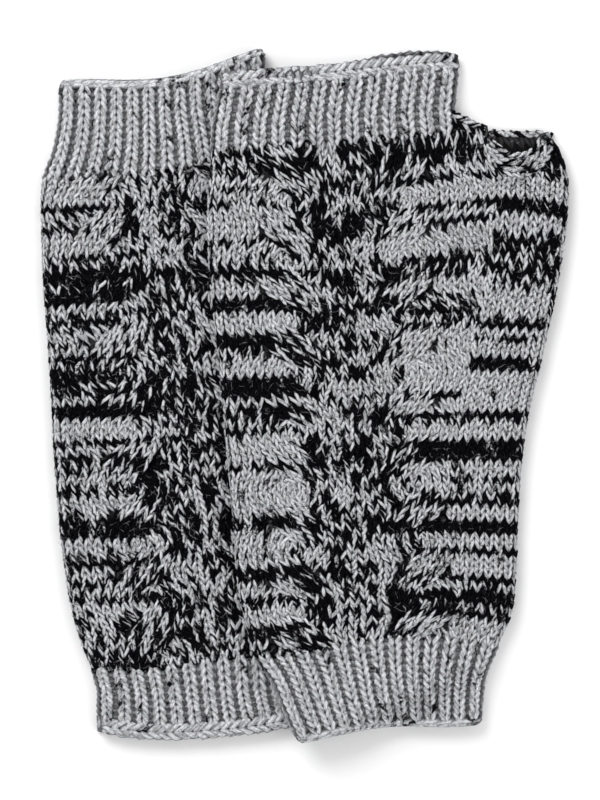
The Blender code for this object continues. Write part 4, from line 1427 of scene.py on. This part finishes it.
class GLOVES_OT_edges(bpy.types.Operator):
    """Makes the chain edges of the finger and thumb openings and the cast-on band of the wrists"""

    bl_idname = "gloves.edges"
    bl_label = "Edges"

    def execute(self, context):
        found = palette()
        for mitt in (LOWER, UPPER):
            wrist = Cloth(mitt, hand_line, 0, BODY_START)
            fingers = Cloth(mitt, finger_line, BODY_END, FINGER_END)
            chains = (
                finger_chain_beds(fingers),
                thumb_chain_beds(mitt),
                shoulder_beds(mitt),
                cast_on_beds(wrist),
            )
            for edge, beds in zip(EDGES, chains):
                name = f"{mitt.name}_{edge.name}"
                spread = edge.spread or context.scene.glove_sizes.loop_spread
                chain = knit(name, beds, found[edge.yarn], edge.seed, Spread=spread, Drop=0.0)
                solids = [f"{mitt.name}_{edge.solid}"] if edge.solid else []
                finish_piece(chain, edge.slot, *solids)
        return {"FINISHED"}


FRAME_HEIGHT = 0.256
VIEW_X = -0.00155
VIEW_Y = -0.00175
LENS = 180
SHARP_HEIGHT = 0.009
SENSOR = 36
FLOOR_HALF = 3.0
FLOOR_COLOUR = (0.9, 0.9, 0.905, 1)
SKY_STRENGTH = 0.7
Lamp = namedtuple("Lamp", "name place size power")
LAMPS = (
    Lamp("key", (-0.55, 0.75, 0.9), 0.7, 11.0),
    Lamp("fill", (0.7, -0.4, 0.9), 0.9, 4.0),
)


class GLOVES_OT_stage(bpy.types.Operator):
    """Sets the pale floor, the soft lights and the camera that looks straight down"""

    bl_idname = "gloves.stage"
    bl_label = "Stage"

    def execute(self, context):
        scene = context.scene
        mesh = bpy.data.meshes.new("floor")
        half = FLOOR_HALF
        square = [(-half, -half, 0), (half, -half, 0), (half, half, 0), (-half, half, 0)]
        mesh.from_pydata(square, [], [(0, 1, 2, 3)])
        _, shader = new_material("floor", roughness=0.9, specular=0.5)
        shader.inputs["Base Color"].default_value = FLOOR_COLOUR
        mesh.materials.append(bpy.data.materials["floor"])
        floor = new_object("floor", mesh)
        world = bpy.data.worlds.new("studio")
        scene.world = world
        world.use_nodes = True
        world.node_tree.nodes["Background"].inputs["Color"].default_value = (1, 1, 1, 1)
        world.node_tree.nodes["Background"].inputs["Strength"].default_value = SKY_STRENGTH
        for lamp in LAMPS:
            light = bpy.data.lights.new(lamp.name, "AREA")
            light.size = lamp.size
            light.energy = lamp.power
            obj = new_object(lamp.name, light)
            obj.location = lamp.place
            obj.rotation_euler = Vector([-value for value in lamp.place]).to_track_quat("-Z", "Y").to_euler()
        scene.view_settings.view_transform = "Standard"
        camera = bpy.data.cameras.new("camera")
        camera.lens = LENS
        camera.sensor_width = SENSOR
        scene.camera = new_object("camera", camera)
        scene.camera.location = (VIEW_X, VIEW_Y, FRAME_HEIGHT * LENS / SENSOR + SHARP_HEIGHT)
        return {"FINISHED"}


class GLOVES_PT_panel(bpy.types.Panel):
    """Sidebar panel that lists the pieces and their sizes"""

    bl_label = "Gloves"
    bl_idname = "GLOVES_PT_panel"
    bl_space_type = "VIEW_3D"
    bl_region_type = "UI"
    bl_category = "Gloves"

    def draw(self, context):
        for group in (context.scene.glove_sizes, context.scene.glove_colours):
            for key in group.__annotations__:
                self.layout.prop(group, key)
        for operator in OPERATORS:
            self.layout.operator(operator.bl_idname)


OPERATORS = (GLOVES_OT_stage, GLOVES_OT_hands, GLOVES_OT_ribs, GLOVES_OT_edges)
CLASSES = (GloveSizes, GloveColours, *OPERATORS, GLOVES_PT_panel)


def register():
    for kind in CLASSES:
        bpy.utils.register_class(kind)
    bpy.types.Scene.glove_sizes = bpy.props.PointerProperty(type=GloveSizes)
    bpy.types.Scene.glove_colours = bpy.props.PointerProperty(type=GloveColours)


def unregister():
    del bpy.types.Scene.glove_colours
    del bpy.types.Scene.glove_sizes
    for kind in reversed(CLASSES):
        bpy.utils.unregister_class(kind)


def corners(box):
    return [list(corner) for corner in box]


def main():
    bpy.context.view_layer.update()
    register()
    bpy.ops.gloves.stage()
    bpy.ops.gloves.hands()
    bpy.ops.gloves.ribs()
    bpy.ops.gloves.edges()


if __name__ == "__main__":
    main()
